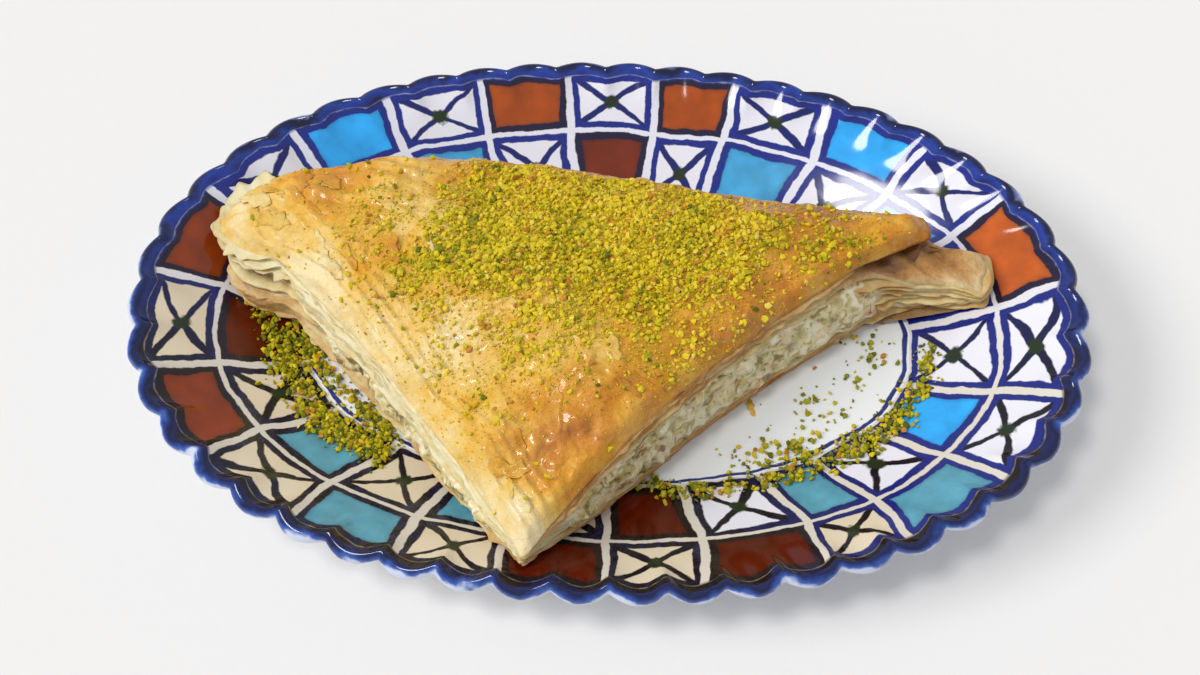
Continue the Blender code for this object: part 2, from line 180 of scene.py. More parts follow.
# Plate: thrown stoneware with a scalloped rim. A level is named by its half length along X.
dish = {
    "wellLength": 65.4 * mm,
    "wellWidth": 35.6 * mm,
    "widthGrowth": 0.85,  # how much a ring's half width grows for each mm of half length
    "wellHeight": 6.1 * mm,
    "brimLength": 98.3 * mm,
    "brimRise": 14.0 * mm,
    "brimCurve": 1.4,
    "wall": 4.0 * mm,
    "lip": 1.8 * mm,
    "lobes": 46,
    "lobeDepth": 1.1 * mm,
    "lobeDrop": 0.5 * mm,
    "lobePhase": 0.23,  # how far the first lobe is turned from +X, in lobes
    "lobeStart": 88.0 * mm,
    "footOuter": 59.0 * mm,
    "footInner": 54.5 * mm,
    "footHeight": 1.8 * mm,
    "middleLine": 83.5 * mm,
    "outerLine": 96.7 * mm,
    "wellShift": 0.6 * mm,
    "squareness": 2.1,  # 2 is an ellipse
    "perLobe": 16,  # points round each lobe
    "unevenness": 0.10 * mm,
}

# Painted band: 23 hand-spaced columns, counter-clockwise from +X. Each is (where it starts on the
# middle line and on the outer line, in thousandths of the way round, outer square, inner square).
paint = {
    "columns": (
        (16, 20, "orange", "litCross"), (63, 69, "litCross", "sky"),
        (103, 109, "sky", "litCross"), (145, 156, "litCross", "litTeal"),
        (194, 197, "litBrown", "litCross"), (230, 232, "litCross", "umber"),
        (274, 272, "litBrown", "litCross"), (317, 311, "litCross", "litTeal"),
        (361, 354, "sky", "litCross"), (404, 398, "litCross", "litTeal"),
        (446, 442, "rust", "litCross"), (487, 489, "shadedCross", "brown"),
        (531, 535, "rust", "shadedCross"), (574, 584, "shadedCross", "shadedTeal"),
        (620, 629, "shadedTeal", "shadedCross"), (666, 672, "shadedCross", "shadedTeal"),
        (708, 711, "brown", "shadedCross"), (754, 753, "shadedCross", "brown"),
        (798, 792, "brown", "litCross"), (848, 839, "shadedCross", "shadedTeal"),
        (881, 873, "shadedTeal", "litCross"), (925, 921, "litCross", "sky"),
        (968, 966, "litCross", "litCross"),
    ),
    # the near-side colours are darker, warmer copies of the far-side ones: brown is a shaded copy of litBrown,
    # shadedTeal of litTeal, shadedCross of litCross. This is painted shade on the near side and painted light on the
    # far side, partly glaze that pooled there
    "colours": {
        "orange": "c05a1a", "litBrown": "a84a0a", "umber": "74280a", "rust": "8a360c",
        "brown": "5a1200", "sky": "2eaeff", "shadedTeal": "5ba4bc", "litTeal": "44a6dc",
        "litCross": "ecedf8", "shadedCross": "e6d9be",
    },
    "whiteBand": 0.85,  # half width of the bare slip between two lines, mm
    "lineEnd": 2.2,  # where the brushed line ends, mm from the middle of the bare slip
    "rowSlimmer": 0.35,  # how much less both are between the two rows
    "diagonal": 0.58,  # half width of a cross's strokes, mm
    "blob": 1.7,  # radius of the blob at its middle, mm
}


def squared(value):
    # a sine or cosine bent so that its ring is squarer than an ellipse: sign(v) |v|^(2/n)
    return np.sign(value) * np.abs(value) ** (2.0 / dish["squareness"])


def widthOf(level):
    inside = dish["wellWidth"] * level / dish["wellLength"]
    outside = dish["wellWidth"] + dish["widthGrowth"] * (level - dish["wellLength"])
    return np.where(level < dish["wellLength"], inside, outside)


def shiftOf(level):
    return dish["wellShift"] * (1.0 - ease((level - dish["middleLine"]) / (dish["brimLength"] - dish["middleLine"])))


def plateTop(level):
    # flat well, then a hollow rise: height + rise * share^curve
    share = np.clip((level - dish["wellLength"]) / (dish["brimLength"] - dish["wellLength"]), 0.0, 1.0)
    return dish["wellHeight"] + dish["brimRise"] * share ** dish["brimCurve"]


def levelAt(x, y):
    # the level whose ring passes through a plan position, by halving
    low = np.full(np.shape(x), 0.5 * mm)
    high = np.full(np.shape(x), 120.0 * mm)
    for _ in range(26):
        middle = (low + high) / 2
        reach = np.abs(x / middle) ** dish["squareness"]
        reach += np.abs((y - shiftOf(middle)) / widthOf(middle)) ** dish["squareness"]
        low = np.where(reach > 1.0, middle, low)
        high = np.where(reach > 1.0, high, middle)
    return (low + high) / 2


def plateHeight(x, y):
    return plateTop(levelAt(x, y))


def ringShare(level, angle):
    # how far round a ring each angle is, as a share of the ring's length
    fine = np.linspace(0.0, 2 * math.pi, 6001)
    x = level * squared(np.cos(fine))
    y = widthOf(level) * squared(np.sin(fine))
    run = np.concatenate([[0.0], np.cumsum(np.hypot(np.diff(x), np.diff(y)))])
    return np.interp(angle, fine, run / run[-1]), run[-1]


def sectionRows():
    # the section's rows as (level, height, fluting), from the well's middle out to the lip, then below
    # it back to the middle of the foot, and how far along the section each row is
    brim, lip = dish["brimLength"], dish["lip"]
    brimTop = dish["wellHeight"] + dish["brimRise"]
    rows = [(level, plateTop(level), 0.0) for level in np.linspace(3 * mm, dish["wellLength"], 14)]
    rise = [(level, plateTop(level), ease((level - dish["lobeStart"]) / (brim - dish["lobeStart"])))
            for level in np.linspace(dish["wellLength"], brim, 46)[1:]]
    rows += rise
    rows += [(brim + lip * math.cos(turn), brimTop + lip * (math.sin(turn) - 1.0), 1.0)
             for turn in np.radians(np.linspace(80, -75, 11))]
    for level, height, fluting in rise[::-2]:
        wall = ease((brim - level) / (4 * mm))  # the wall thins towards the lip
        rows.append((level - 1.5 * mm, height - dish["wall"] * wall - 2.6 * mm * (1 - wall), 0.8 * fluting))
    outer, inner, under = dish["footOuter"], dish["footInner"], dish["footHeight"]
    rows += [(level, height, 0.0) for level, height in (
        (outer + 1.0 * mm, dish["wellHeight"] - dish["wall"]), (outer + 0.5 * mm, 0.8 * mm), (outer, 0.15 * mm),
        (outer - 0.3 * mm, 0.0), (inner + 0.3 * mm, 0.0), (inner, 0.15 * mm), (inner - 1.0 * mm, under),
        (30 * mm, under), (4 * mm, under))]
    level, height, fluting = np.array(rows, float).T
    ahead = np.concatenate([[0.0], np.cumsum(np.hypot(np.diff(level), np.diff(height)))])
    return level, height, fluting, ahead


def makeDish(material):
    around = dish["lobes"] * dish["perLobe"]
    fine = np.linspace(0.0, 2 * math.pi, 6001)
    share, _ = ringShare(dish["brimLength"], fine)
    angle = np.interp(np.arange(around) / around, share, fine)
    turn = np.arange(around) / around * dish["lobes"] - dish["lobePhase"]
    lobe = 2.0 * np.abs(np.cos(math.pi * turn)) ** 0.85 - 1.0  # round lobes with a sharper notch
    level, height, fluting, ahead = sectionRows()
    grow = dish["lobeDepth"] * lobe * fluting[:, None]
    x = (level[:, None] + grow) * squared(np.cos(angle))
    y = (widthOf(level)[:, None] + grow) * squared(np.sin(angle)) + shiftOf(level)[:, None]
    z = height[:, None] - dish["lobeDrop"] * lobe * fluting[:, None]
    handmade = dish["unevenness"] * puff(flat(x, y), 13, 3) * ease((height[:, None] - 3 * mm) / (2 * mm))
    rows = np.stack([x, y, z + handmade], axis=-1).reshape(-1, 3)
    poles = [(0.0, dish["wellShift"], dish["wellHeight"]), (0.0, dish["wellShift"], dish["footHeight"])]
    points = np.concatenate([rows, poles])

    # paint coordinates: u counts the columns, v is 0 at the well, 1 at the middle line and 2 at the
    # outer line; it goes on inward at the same scale and over the rim by 1 for each 10 mm of section
    starts = np.array([column[:2] for column in paint["columns"]], float).T / 1000
    count = len(paint["columns"])
    u = []
    for line, ring in zip(starts, (dish["middleLine"], dish["outerLine"])):
        fromFirst = (ringShare(ring, angle)[0] - line[0]) % 1.0
        u.append(np.interp(fromFirst, np.append((line - line[0]) % 1.0, 1.0), np.arange(count + 1)))
    u[1] += count * np.round((u[0] - u[1]) / count)
    v = np.interp(level, [0, dish["wellLength"], dish["middleLine"], dish["outerLine"]], [-3.6, 0.0, 1.0, 2.0])
    outerRow = int(np.argmax(level > dish["outerLine"]))
    v[outerRow:] = 2.0 + (ahead[outerRow:] - ahead[outerRow]) / (10 * mm)
    blend = np.clip(v - 1.0, 0.0, 1.0)[:, None]
    uGrid = u[0] * (1 - blend) + u[1] * blend
    uv = np.stack([uGrid, np.broadcast_to(v[:, None], uGrid.shape)], axis=-1).reshape(-1, 2)
    uv = np.concatenate([uv, [(0.0, v[0]), (0.0, v[-1])]])
    # a painted square's size in mm: its column's share of the ring, and its row's mean width
    ringLength = np.array([ringShare(max(step, 5 * mm), np.array([0.0]))[1] for step in level])
    rowWidth = np.where(v < 1.0, (dish["middleLine"] - dish["wellLength"]) * 0.94,
                        (dish["outerLine"] - dish["middleLine"]) * 1.06)
    size = np.stack([ringLength / count, rowWidth, np.zeros(len(level))], axis=-1) / mm
    cellSize = np.concatenate([np.repeat(size, around, axis=0), size[:1], size[-1:]])

    piece = putMesh("dish", points, shellFaces(len(level), around), material, {"cellSize": cellSize})
    loops, firstLoop, loopCount = (np.empty(length, np.int32) for length in (
        len(piece.data.loops), len(piece.data.polygons), len(piece.data.polygons)))
    piece.data.loops.foreach_get("vertex_index", loops)
    piece.data.polygons.foreach_get("loop_start", firstLoop)
    piece.data.polygons.foreach_get("loop_total", loopCount)
    corner = uv[loops].copy()
    highest = np.repeat(np.maximum.reduceat(corner[:, 0], firstLoop), loopCount)
    # the seam's faces go on past the last column
    corner[:, 0] += np.where(highest - corner[:, 0] > count / 2, count, 0)
    piece.data.uv_layers.new(name="painted").data.foreach_set("uv", corner.astype(np.float32).ravel())
    keep(piece, "painted_glaze", "plate")


def paintedGlaze():
    # Glazed stoneware: brushed oxide colours on white slip under a clear, glassy, slightly wavy glaze
    material, add, shader = newMaterial("paintedGlaze")
    spot = add("TexCoord").outputs["Object"]
    size = add("Attribute", attribute_name="cellSize").outputs["Vector"]
    fine = add("TexNoise", spot, Scale=1 / (1.6 * mm), Detail=3.0)
    ragged = add("Math", fine, 0.6, -0.3, operation="MULTIPLY_ADD")

    # the hand's slips move the painted grid about by a sixth of a square
    shake = add("TexNoise", spot, Scale=1 / (11 * mm), Detail=2.0).outputs["Color"]
    shake = add("VectorMath", shake, (0.5, 0.5, 0.5), operation="SUBTRACT")
    place = add("UVMap", uv_map="painted")
    hand = add("VectorMath", shake, (0.16, 0.18, 0.0), place, operation="MULTIPLY_ADD")
    columnPlace, rowPlace, _ = add("SeparateXYZ", hand).outputs

    # millimetres from the middle of a square, from its edges and from its diagonals
    cell = add("VectorMath", hand, operation="FRACTION")
    cell = add("VectorMath", cell, (0.5, 0.5, 0.5), operation="SUBTRACT")
    cell = add("VectorMath", cell, operation="ABSOLUTE")
    offset = add("VectorMath", cell, size, operation="MULTIPLY")
    half = add("VectorMath", size, Scale=0.5, operation="SCALE")
    toEdge = add("VectorMath", half, offset, operation="SUBTRACT")
    toColumn, toRow, _ = add("SeparateXYZ", toEdge).outputs
    edge = add("Math", toRow, paint["rowSlimmer"], operation="ADD")
    edge = add("Math", toColumn, edge, operation="MINIMUM")
    edge = add("Math", edge, ragged, operation="ADD")
    load = add("TexNoise", spot, Scale=1 / (14 * mm), Detail=1.0)
    load = add("MapRange", load, 0.3, 0.7, 0.25, -0.30)  # how full the brush is, mm of line
    thick = add("Math", load, 0.8, edge, operation="MULTIPLY_ADD")
    across = add("VectorMath", offset, half, operation="CROSS_PRODUCT")
    across = add("SeparateXYZ", across).outputs["Z"]
    diagonal = add("Math", across, add("VectorMath", half, operation="LENGTH"), operation="DIVIDE")
    diagonal = add("Math", diagonal, operation="ABSOLUTE")
    diagonal = add("Math", diagonal, ragged, operation="ADD")
    diagonal = add("Math", diagonal, load, operation="ADD")
    middle = add("Math", ragged, 3.5, add("VectorMath", offset, operation="LENGTH"), operation="MULTIPLY_ADD")

    # which column and which row: the two ramps hold each column's colour, with alpha 1 for a cross
    count = len(paint["columns"])
    column = add("Math", columnPlace, operation="FLOOR")
    column = add("Math", column, float(count), operation="FLOORED_MODULO")
    column = add("Math", column, 1 / count, 0.5 / count, operation="MULTIPLY_ADD")
    outside, inside = (
        add("ValToRGB", column, stops=[
            (number / count, (*linear(paint["colours"][made[row]])[:3], float("Cross" in made[row])))
            for number, made in enumerate(paint["columns"])])
        for row in (2, 3))
    outside.color_ramp.interpolation = inside.color_ramp.interpolation = "CONSTANT"
    inner = add("Math", rowPlace, 1.0, operation="LESS_THAN")
    fill = add("Mix", inner, outside, inside, data_type="RGBA")
    cross = add("Mix", inner, outside.outputs["Alpha"], inside.outputs["Alpha"])

    # a painted square is brushed on: darker where the colour pools at its edge, streaky inside
    pool = add("MapRange", edge, 1.4, 3.2, 0.55, 1.0)
    streak = add("TexNoise", spot, Scale=1 / (5 * mm), Detail=4.0)
    streak = add("MapRange", streak, 0.3, 0.7, 0.82, 1.18)
    pool = add("Math", pool, streak, operation="MULTIPLY")
    pool = add("Mix", cross, pool, 1.0)
    colour = add("VectorMath", fill, Scale=pool, operation="SCALE")

    # the brushed lines: cobalt at the far side and the right, nearly black at the near side, where it is thicker; the
    # near side's darker lines and strokes and its creamier slip are painted shade, partly glaze that pooled there.
    # Brown-black round the painted brown and orange squares
    plateX, plateY, _ = add("SeparateXYZ", spot).outputs
    far = add("MapRange", plateY, -14 * mm, 22 * mm)
    blue = add("Math", far, add("MapRange", plateX, 25 * mm, 60 * mm, 0.0, 0.85), operation="MAXIMUM")
    line = add("Mix", blue, "120e20", "17288a", data_type="RGBA")
    stroke = add("Mix", far, "100e1e", "14206c", data_type="RGBA")
    thin = add("MapRange", fine, 0.45, 0.75, 0.0, 0.5)
    red, _, blueness = add("SeparateColor", fill).outputs
    warm = add("Math", red, blueness, operation="SUBTRACT")
    warm = add("MapRange", warm, 0.02, 0.08, 0.0, 0.85)
    warm = add("Mix", cross, warm, 0.0)
    for mask, over in ((thin, "2b3474"), (warm, "1e120e")):
        line = add("Mix", mask, line, over, data_type="RGBA")
    drawn = add("MapRange", diagonal, paint["diagonal"], paint["diagonal"] + 0.25, 1.0, 0.0)
    drawn = add("Math", drawn, cross, operation="MULTIPLY")
    blob = add("MapRange", middle, paint["blob"] - 0.3, paint["blob"] + 0.3, 1.0, 0.0)
    blob = add("Math", blob, cross, operation="MULTIPLY")
    # painted shade and painted light: the bare slip is creamy on the near side and lavender-white on the far side
    litAndShadedSlip = add("Mix", far, "e0dace", "e8eaf8", data_type="RGBA")
    inLine = add("MapRange", thick, paint["lineEnd"], paint["lineEnd"] + 0.25, 1.0, 0.0)
    inBand = add("MapRange", edge, paint["whiteBand"] - 0.1, paint["whiteBand"] + 0.1, 1.0, 0.0)

    # the well is bare slip with one blue line round it
    wellEdge = add("Math", toRow, ragged, operation="ADD")
    wellLine = add("MapRange", wellEdge, 1.5, 1.75, 1.0, 0.0)
    wellLine = add("Math", wellLine, add("MapRange", wellEdge, 0.45, 0.65), operation="MULTIPLY")
    wellLine = add("Math", wellLine, add("MapRange", rowPlace, -0.42, -0.40), operation="MULTIPLY")
    well = add("Mix", wellLine, "f2f6f8", "23307c", data_type="RGBA")
    inWell = add("Math", rowPlace, 0.0, operation="LESS_THAN")

    # the rim: a dark band, cobalt over the lobes, then white slip with blue brushed over it below. The near rim is a
    # darker, shaded copy with painted highlights of pale blue over its lobes; the far rim has a painted blue-violet
    # highlight at its edge
    smear = add("TexNoise", spot, Scale=1 / (7 * mm), Detail=3.0)
    spread = add("Math", smear, 0.85, rowPlace, operation="MULTIPLY_ADD")
    spread = add("MapRange", spread, 2.26, 3.34)
    shadedNearRim = add("ValToRGB", spread, stops=(
        (0.0, "1c120c"), (0.17, "14101a"), (0.24, "16205a"), (0.32, "0f163e"), (0.40, "1c3884"),
        (0.48, "3c60b0"), (0.55, "c9d3ec"), (1.0, "dfe2ea")))
    litFarRim = add("ValToRGB", spread, stops=(
        (0.0, "10164a"), (0.08, "1b2f8c"), (0.20, "1f3e9a"), (0.32, "121c50"), (0.42, "0e1230"),
        (0.52, "6f7fb8"), (0.66, "dfe4f2"), (1.0, "dfe2ea")))
    rim = add("Mix", far, shadedNearRim, litFarRim, data_type="RGBA")
    inRim = add("MapRange", rowPlace, 1.93, 1.98)
    for mask, over in ((drawn, stroke), (blob, "20301a"), (inLine, line), (inBand, litAndShadedSlip), (inWell, well), (inRim, rim)):
        colour = add("Mix", mask, colour, over, data_type="RGBA")
    wave = add("TexNoise", spot, Scale=1 / (9 * mm), Detail=1.0)
    bump = add("Bump", Height=wave, Strength=0.25, Distance=0.5 * mm)
    setInputs(shader, {"Base Color": colour, "Normal": bump, "Roughness": 0.10, "IOR": 1.52})
    return material


makeDish(paintedGlaze())
print("plate made")

# Pastry: a square of stacked filo folded over to a triangle. A corner is (crust x, y, height, base
# x, y), as on the solid.
pastry = {
    "nearTip": (-14.1, -58.9, 23.0, -14.5, -58.6),
    "rightShoulder": (53.1, 8.7, 26.2, 59.4, 8.4),
    "rightEndNear": (68.3, 18.5, 22.2, 79.2, 8.6),
    "rightEndFar": (67.7, 23.5, 22.2, 80.2, 18.0),
    "foldStart": (66.9, 23.8, 22.4, 69.0, 18.4),
    "leftFoldEnd": (-76.4, 26.6, 22.6, -75.4, 22.2),
    "leftEndFar": (-85.3, 17.5, 20.8, -80.4, 10.2),
    "leftEndNear": (-78.4, 11.1, 21.2, -77.7, 3.1),
    "leftShoulder": (-70.4, 7.3, 23.6, -67.7, 2.3),
    "crown": (-8.9, -4.3, 35.0),
    # each side: start, end, columns, crust bow, base bow, lift, bulge, kind
    "sides": (
        ("nearTip", "rightShoulder", 156, -3.5, -3.5, 4.6, 0.0, "right"),
        ("rightShoulder", "rightEndNear", 30, 0.0, -1.2, 0.0, 0.0, "flap"),
        ("rightEndNear", "rightEndFar", 16, 0.4, 0.6, 0.0, 0.0, "flap"),
        ("rightEndFar", "foldStart", 14, 0.0, 0.3, 0.0, 0.0, "flap"),
        ("foldStart", "leftFoldEnd", 236, 5.0, 2.6, 4.3, 5.6, "fold"),
        ("leftFoldEnd", "leftEndFar", 24, 1.0, 0.8, 0.0, 0.0, "leftEnd"),
        ("leftEndFar", "leftEndNear", 16, 0.6, 0.8, 0.0, 0.0, "leftEnd"),
        ("leftEndNear", "leftShoulder", 14, 0.0, 0.4, 0.0, 0.0, "leftEnd"),
        ("leftShoulder", "nearTip", 134, -2.0, -1.8, 3.8, 0.0, "left"),
    ),
    "foldSkew": 1.8,  # above 1, the folded side bows most nearer its left end
    "notch": (205.0, 9.0),  # behind the flap the side first goes in, then out: middle column, reach
    "cornerSmooth": 2,  # columns over which the corners are rounded
    "crustRows": 74,
    "wallRows": 60,
    "baseRows": 5,
    "layers": 11,  # sheets that can be told apart down a side
    "layerDepth": 0.45,  # how far they stand in or out
    "restGap": 0.4,  # between the pastry and the glaze
    # swellings and dents of the crust: x, y, reach, height
    "lumps": (
        (-44.0, 27.5, 11.0, 1.6), (-2.2, 25.5, 5.0, -2.1), (9.0, 26.5, 9.0, 1.1), (-16.0, 27.0, 8.0, 0.7),
        (-38.0, 14.0, 6.0, 1.0), (-19.0, -38.0, 6.5, 1.2), (-11.0, -34.0, 4.5, -0.8), (28.0, 16.0, 9.0, 0.8),
        (22.0, -8.0, 7.0, 0.9), (-28.0, -6.0, 7.0, 0.8), (2.0, -22.0, 8.0, 0.7), (50.0, 17.0, 8.0, 0.5),
        (-60.0, 20.0, 8.0, 0.8), (-52.0, 6.0, 6.0, -0.8), (-27.0, -33.0, 4.0, 1.0), (-20.5, -36.0, 2.6, 1.1),
        (-18.0, -41.0, 2.4, 1.0), (-15.5, -46.0, 2.4, 0.9), (-23.0, -40.0, 2.2, 0.8), (-13.0, -38.0, 2.4, 0.7),
    ),
    # paler and darker patches of the crust: x, y, reach, change
    "baked": (
        (-10, -34, 13, 0.18), (-14, -57, 10, -0.30), (-58, 22, 16, 0.12), (-5, -17, 9, -0.28), (-82, 16, 10, -0.10),
        (-34, 2, 8, -0.16), (-45, 16, 9, -0.20), (16, -22, 9, 0.10), (-24, -20, 12, -0.30),
    ),
    "wettest": (-17.5, -39.5, 7.5),  # where the syrup stands: x, y, reach
    # where ground pistachio lies: the patch's middle and half sizes, then spots of x, y, reach, strength
    "dustPatch": (-1, 10, 46, 25),
    "dustSpots": (
        (-12, -13, 12, 0.55), (-38, -2, 10, 0.30), (-48, 12, 9, 0.22), (-20, -27, 8, 0.28),
        (14, -14, 12, 0.35), (44, 10, 13, 0.35), (-30, -18, 9, 0.20), (24, -8, 12, 0.30),
    ),
    # where a side is set back: kind, how far, where down it starts, grows, ends and fades
    "setBack": (
        ("right", 2.6, 0.20, 0.10, 0.86, 0.10), ("left", 1.2, 0.50, 0.12, 0.86, 0.10),
        ("flap", 6.0, 0.0, 0.06, 0.22, 0.10), ("leftEnd", 2.6, 0.22, 0.08, 0.60, 0.08),
    ),
}


def roundAbout(values, width):
    # mean over neighbouring columns, going round
    total = np.zeros_like(values, float)
    for step in range(-width, width + 1):
        total += np.roll(values, step, axis=0)
    return total / (2 * width + 1)


def pastryOutline():
    # crust and base edges as on the solid: straight sides, each bowed by bow * sin(pi * share)
    crust, base, bulge, kinds = [], [], [], []
    for start, end, count, crustBow, baseBow, lift, swelling, kind in pastry["sides"]:
        share = np.arange(count) / count
        arch = np.sin(math.pi * share ** (pastry["foldSkew"] if swelling else 1.0))
        first, last = np.array(pastry[start]), np.array(pastry[end])
        line = first + (last - first) * share[:, None]
        crustRun, baseRun = last[:2] - first[:2], last[3:] - first[3:]
        crustOut = np.array([crustRun[1], -crustRun[0]]) / np.hypot(*crustRun)
        baseOut = np.array([baseRun[1], -baseRun[0]]) / np.hypot(*baseRun)
        edge = np.column_stack([line[:, :2] + crustOut * crustBow * arch[:, None], line[:, 2] + lift * arch])
        crust.append(edge)
        base.append(line[:, 3:] + baseOut * baseBow * arch[:, None])
        bulge.append(crustOut * swelling * np.sin(math.pi * share)[:, None] ** 0.6)
        kinds += [kind] * count
    crust, base, bulge = (roundAbout(np.concatenate(part), pastry["cornerSmooth"]) * mm
                          for part in (crust, base, bulge))
    kinds = np.array(kinds)
    weights = {kind: roundAbout((kinds == kind).astype(float), 7) for kind in set(kinds)}
    run = np.roll(crust[:, :2], -1, axis=0) - np.roll(crust[:, :2], 1, axis=0)
    out = np.stack([run[:, 1], -run[:, 0]], axis=-1)
    out = roundAbout(out / np.linalg.norm(out, axis=1)[:, None], 6)
    out /= np.linalg.norm(out, axis=1)[:, None]
    step = np.linalg.norm(np.diff(crust[:, :2], axis=0, append=crust[:1, :2]), axis=1)
    return crust, base, bulge, weights, out, np.concatenate([[0.0], np.cumsum(step)[:-1]])


crustEdge, baseEdge, foldBulge, sideWeight, outward, edgeRun = pastryOutline()
columnCount = len(edgeRun)
crown = np.array(pastry["crown"]) * mm
crustShares = np.linspace(0.0, 1.0, pastry["crustRows"] + 1)[1:] ** 0.8


def lineDistance(x, y, start, end):
    # distance from the line between two crust corners, positive inside the pastry, and along it
    a, b = np.array(pastry[start][:2]) * mm, np.array(pastry[end][:2]) * mm
    along = (b - a) / np.hypot(*(b - a))
    return -((x - a[0]) * along[1] - (y - a[1]) * along[0]), (x - a[0]) * along[0] + (y - a[1]) * along[1]


def wetness(x, y):
    return mound(x, y, *pastry["wettest"])


def crustRelief(x, y):
    # broad puffs, blisters, torn sheet edges, and folds that run along the left side, in metres
    place = flat(x, y)
    high = 1.4 * mm * puff(place, 17, 1) + 0.55 * mm * puff(place, 7, 2)
    blister = np.clip(puff(place, 4.2, 5), 0.15, 1.0) - 0.15
    high += 0.85 * mm * blister
    torn = 2.2 * puff(place, 9, 7) + 0.8 * puff(place, 3, 9) + 0.25 * puff(place, 1.4, 10)
    high += 0.34 * mm * (np.floor(torn) + ease((torn - np.floor(torn)) / 0.16))
    high += 0.20 * mm * puff(place, 1.7, 11)
    fromLeft, along = lineDistance(x, y, "leftShoulder", "nearTip")
    folds = fromLeft / (2.3 * mm) + 1.1 * puff(flat(along, fromLeft * 0.6), 16, 12)
    band = ease((15 * mm - fromLeft) / (6 * mm))
    high += band * 0.42 * mm * (1.0 - np.abs(2.0 * (folds - np.floor(folds)) - 1.0) ** 0.7 * 2.0)
    fromFold, along = lineDistance(x, y, "rightEndFar", "leftFoldEnd")
    folds = fromFold / (3.2 * mm) + 1.0 * puff(flat(along, fromFold), 15, 13)
    band = ease((13 * mm - fromFold) / (7 * mm)) * ease((-30 * mm - x) / (18 * mm))
    high += band * 0.45 * mm * np.sin(2 * math.pi * folds)
    high += 0.8 * mm * puff(place, 2.6, 14) * wetness(x, y)
    for lumpX, lumpY, reach, height in pastry["lumps"]:
        high = high + height * mm * mound(x, y, lumpX, lumpY, reach)
    return high


def crustRows():
    # rings from the crown to the edge: height = edge + (crown - edge)(1 - s*s)^0.85 + relief, and
    # the last tenth rolls over
    share = crustShares[:, None, None]
    plan = crown[:2] + (crustEdge[:, :2] - crown[:2]) * share
    share = crustShares[:, None]
    high = crustEdge[:, 2] + (crown[2] - crustEdge[:, 2]) * (1.0 - share ** 2) ** 0.85
    high = high + crustRelief(plan[..., 0], plan[..., 1]) * ease((1.06 - share) / 0.12)
    cut = sideWeight["right"] + sideWeight["left"] + sideWeight["flap"] + sideWeight["leftEnd"]
    high = high + (0.6 * mm * ease((share - 0.80) / 0.12) - 1.9 * mm * ease((share - 0.92) / 0.08)) * cut
    return np.concatenate([plan, high[..., None]], axis=-1)


crustGrid = crustRows()


def crustHeight(x, y):
    # the crust's height under a plan position: which column and ring its ray from the crown meets
    rim = crustGrid[-1, :, :2] - crown[:2]
    turn = np.unwrap(np.arctan2(rim[:, 1], rim[:, 0]))
    ray = np.arctan2(y - crown[1], x - crown[0])
    numbers = np.arange(columnCount + 1)
    column = np.interp((ray - turn[0]) % (2 * math.pi), np.append(turn - turn[0], 2 * math.pi), numbers)
    edge = np.append(np.hypot(rim[:, 0], rim[:, 1]), np.hypot(*rim[0]))
    share = np.hypot(x - crown[0], y - crown[1]) / np.interp(column, numbers, edge)
    ring = np.interp(share, crustShares, np.arange(len(crustShares)))
    low, left = np.floor(ring).astype(int), np.floor(column).astype(int)
    high, right = np.minimum(low + 1, len(crustShares) - 1), (left + 1) % columnCount
    up, over = ring - low, column - left
    left = left % columnCount
    z = crustGrid[..., 2]
    below = z[low, left] * (1 - over) + z[low, right] * over
    above = z[high, left] * (1 - over) + z[high, right] * over
    return below * (1 - up) + above * up, share


def pick(values, column):
    # values between columns, going round
    low = np.floor(column).astype(int)
    over = column - low
    if values.ndim > 1:
        over = over[..., None]
    return values[low % columnCount] * (1 - over) + values[(low + 1) % columnCount] * over


def sidePlace(column, down):
    # the pastry's side without relief: from the crust's edge it leans out to the base's plan, with a
    # ledge at the open right end, and rounds at the fold
    edge = pick(crustGrid[-1], column)
    base = pick(baseEdge, column)
    flap = pick(sideWeight["flap"], column)
    begin = 0.14 * flap
    lean = ease((down - begin) / (0.75 - 0.47 * flap - begin))
    inward = np.exp(-((column - pastry["notch"][0]) / pastry["notch"][1]) ** 2)
    leanAcross = lean + (ease(down / 0.14) - lean) * inward
    plan = edge[..., :2] + (base - edge[..., :2]) * np.stack([lean, leanAcross], axis=-1)
    plan = plan + pick(foldBulge, column) * (np.sin(math.pi * np.clip(down, 0, 1)) ** 0.75)[..., None]
    floor = plateHeight(base[..., 0], base[..., 1]) + pastry["restGap"] * mm
    high = edge[..., 2] + (floor - edge[..., 2]) * down
    high = high - 2.0 * mm * ease((down - 0.15) / 0.18) * (1 - ease((down - 0.40) / 0.5)) * flap
    return plan, high, pick(outward, column)


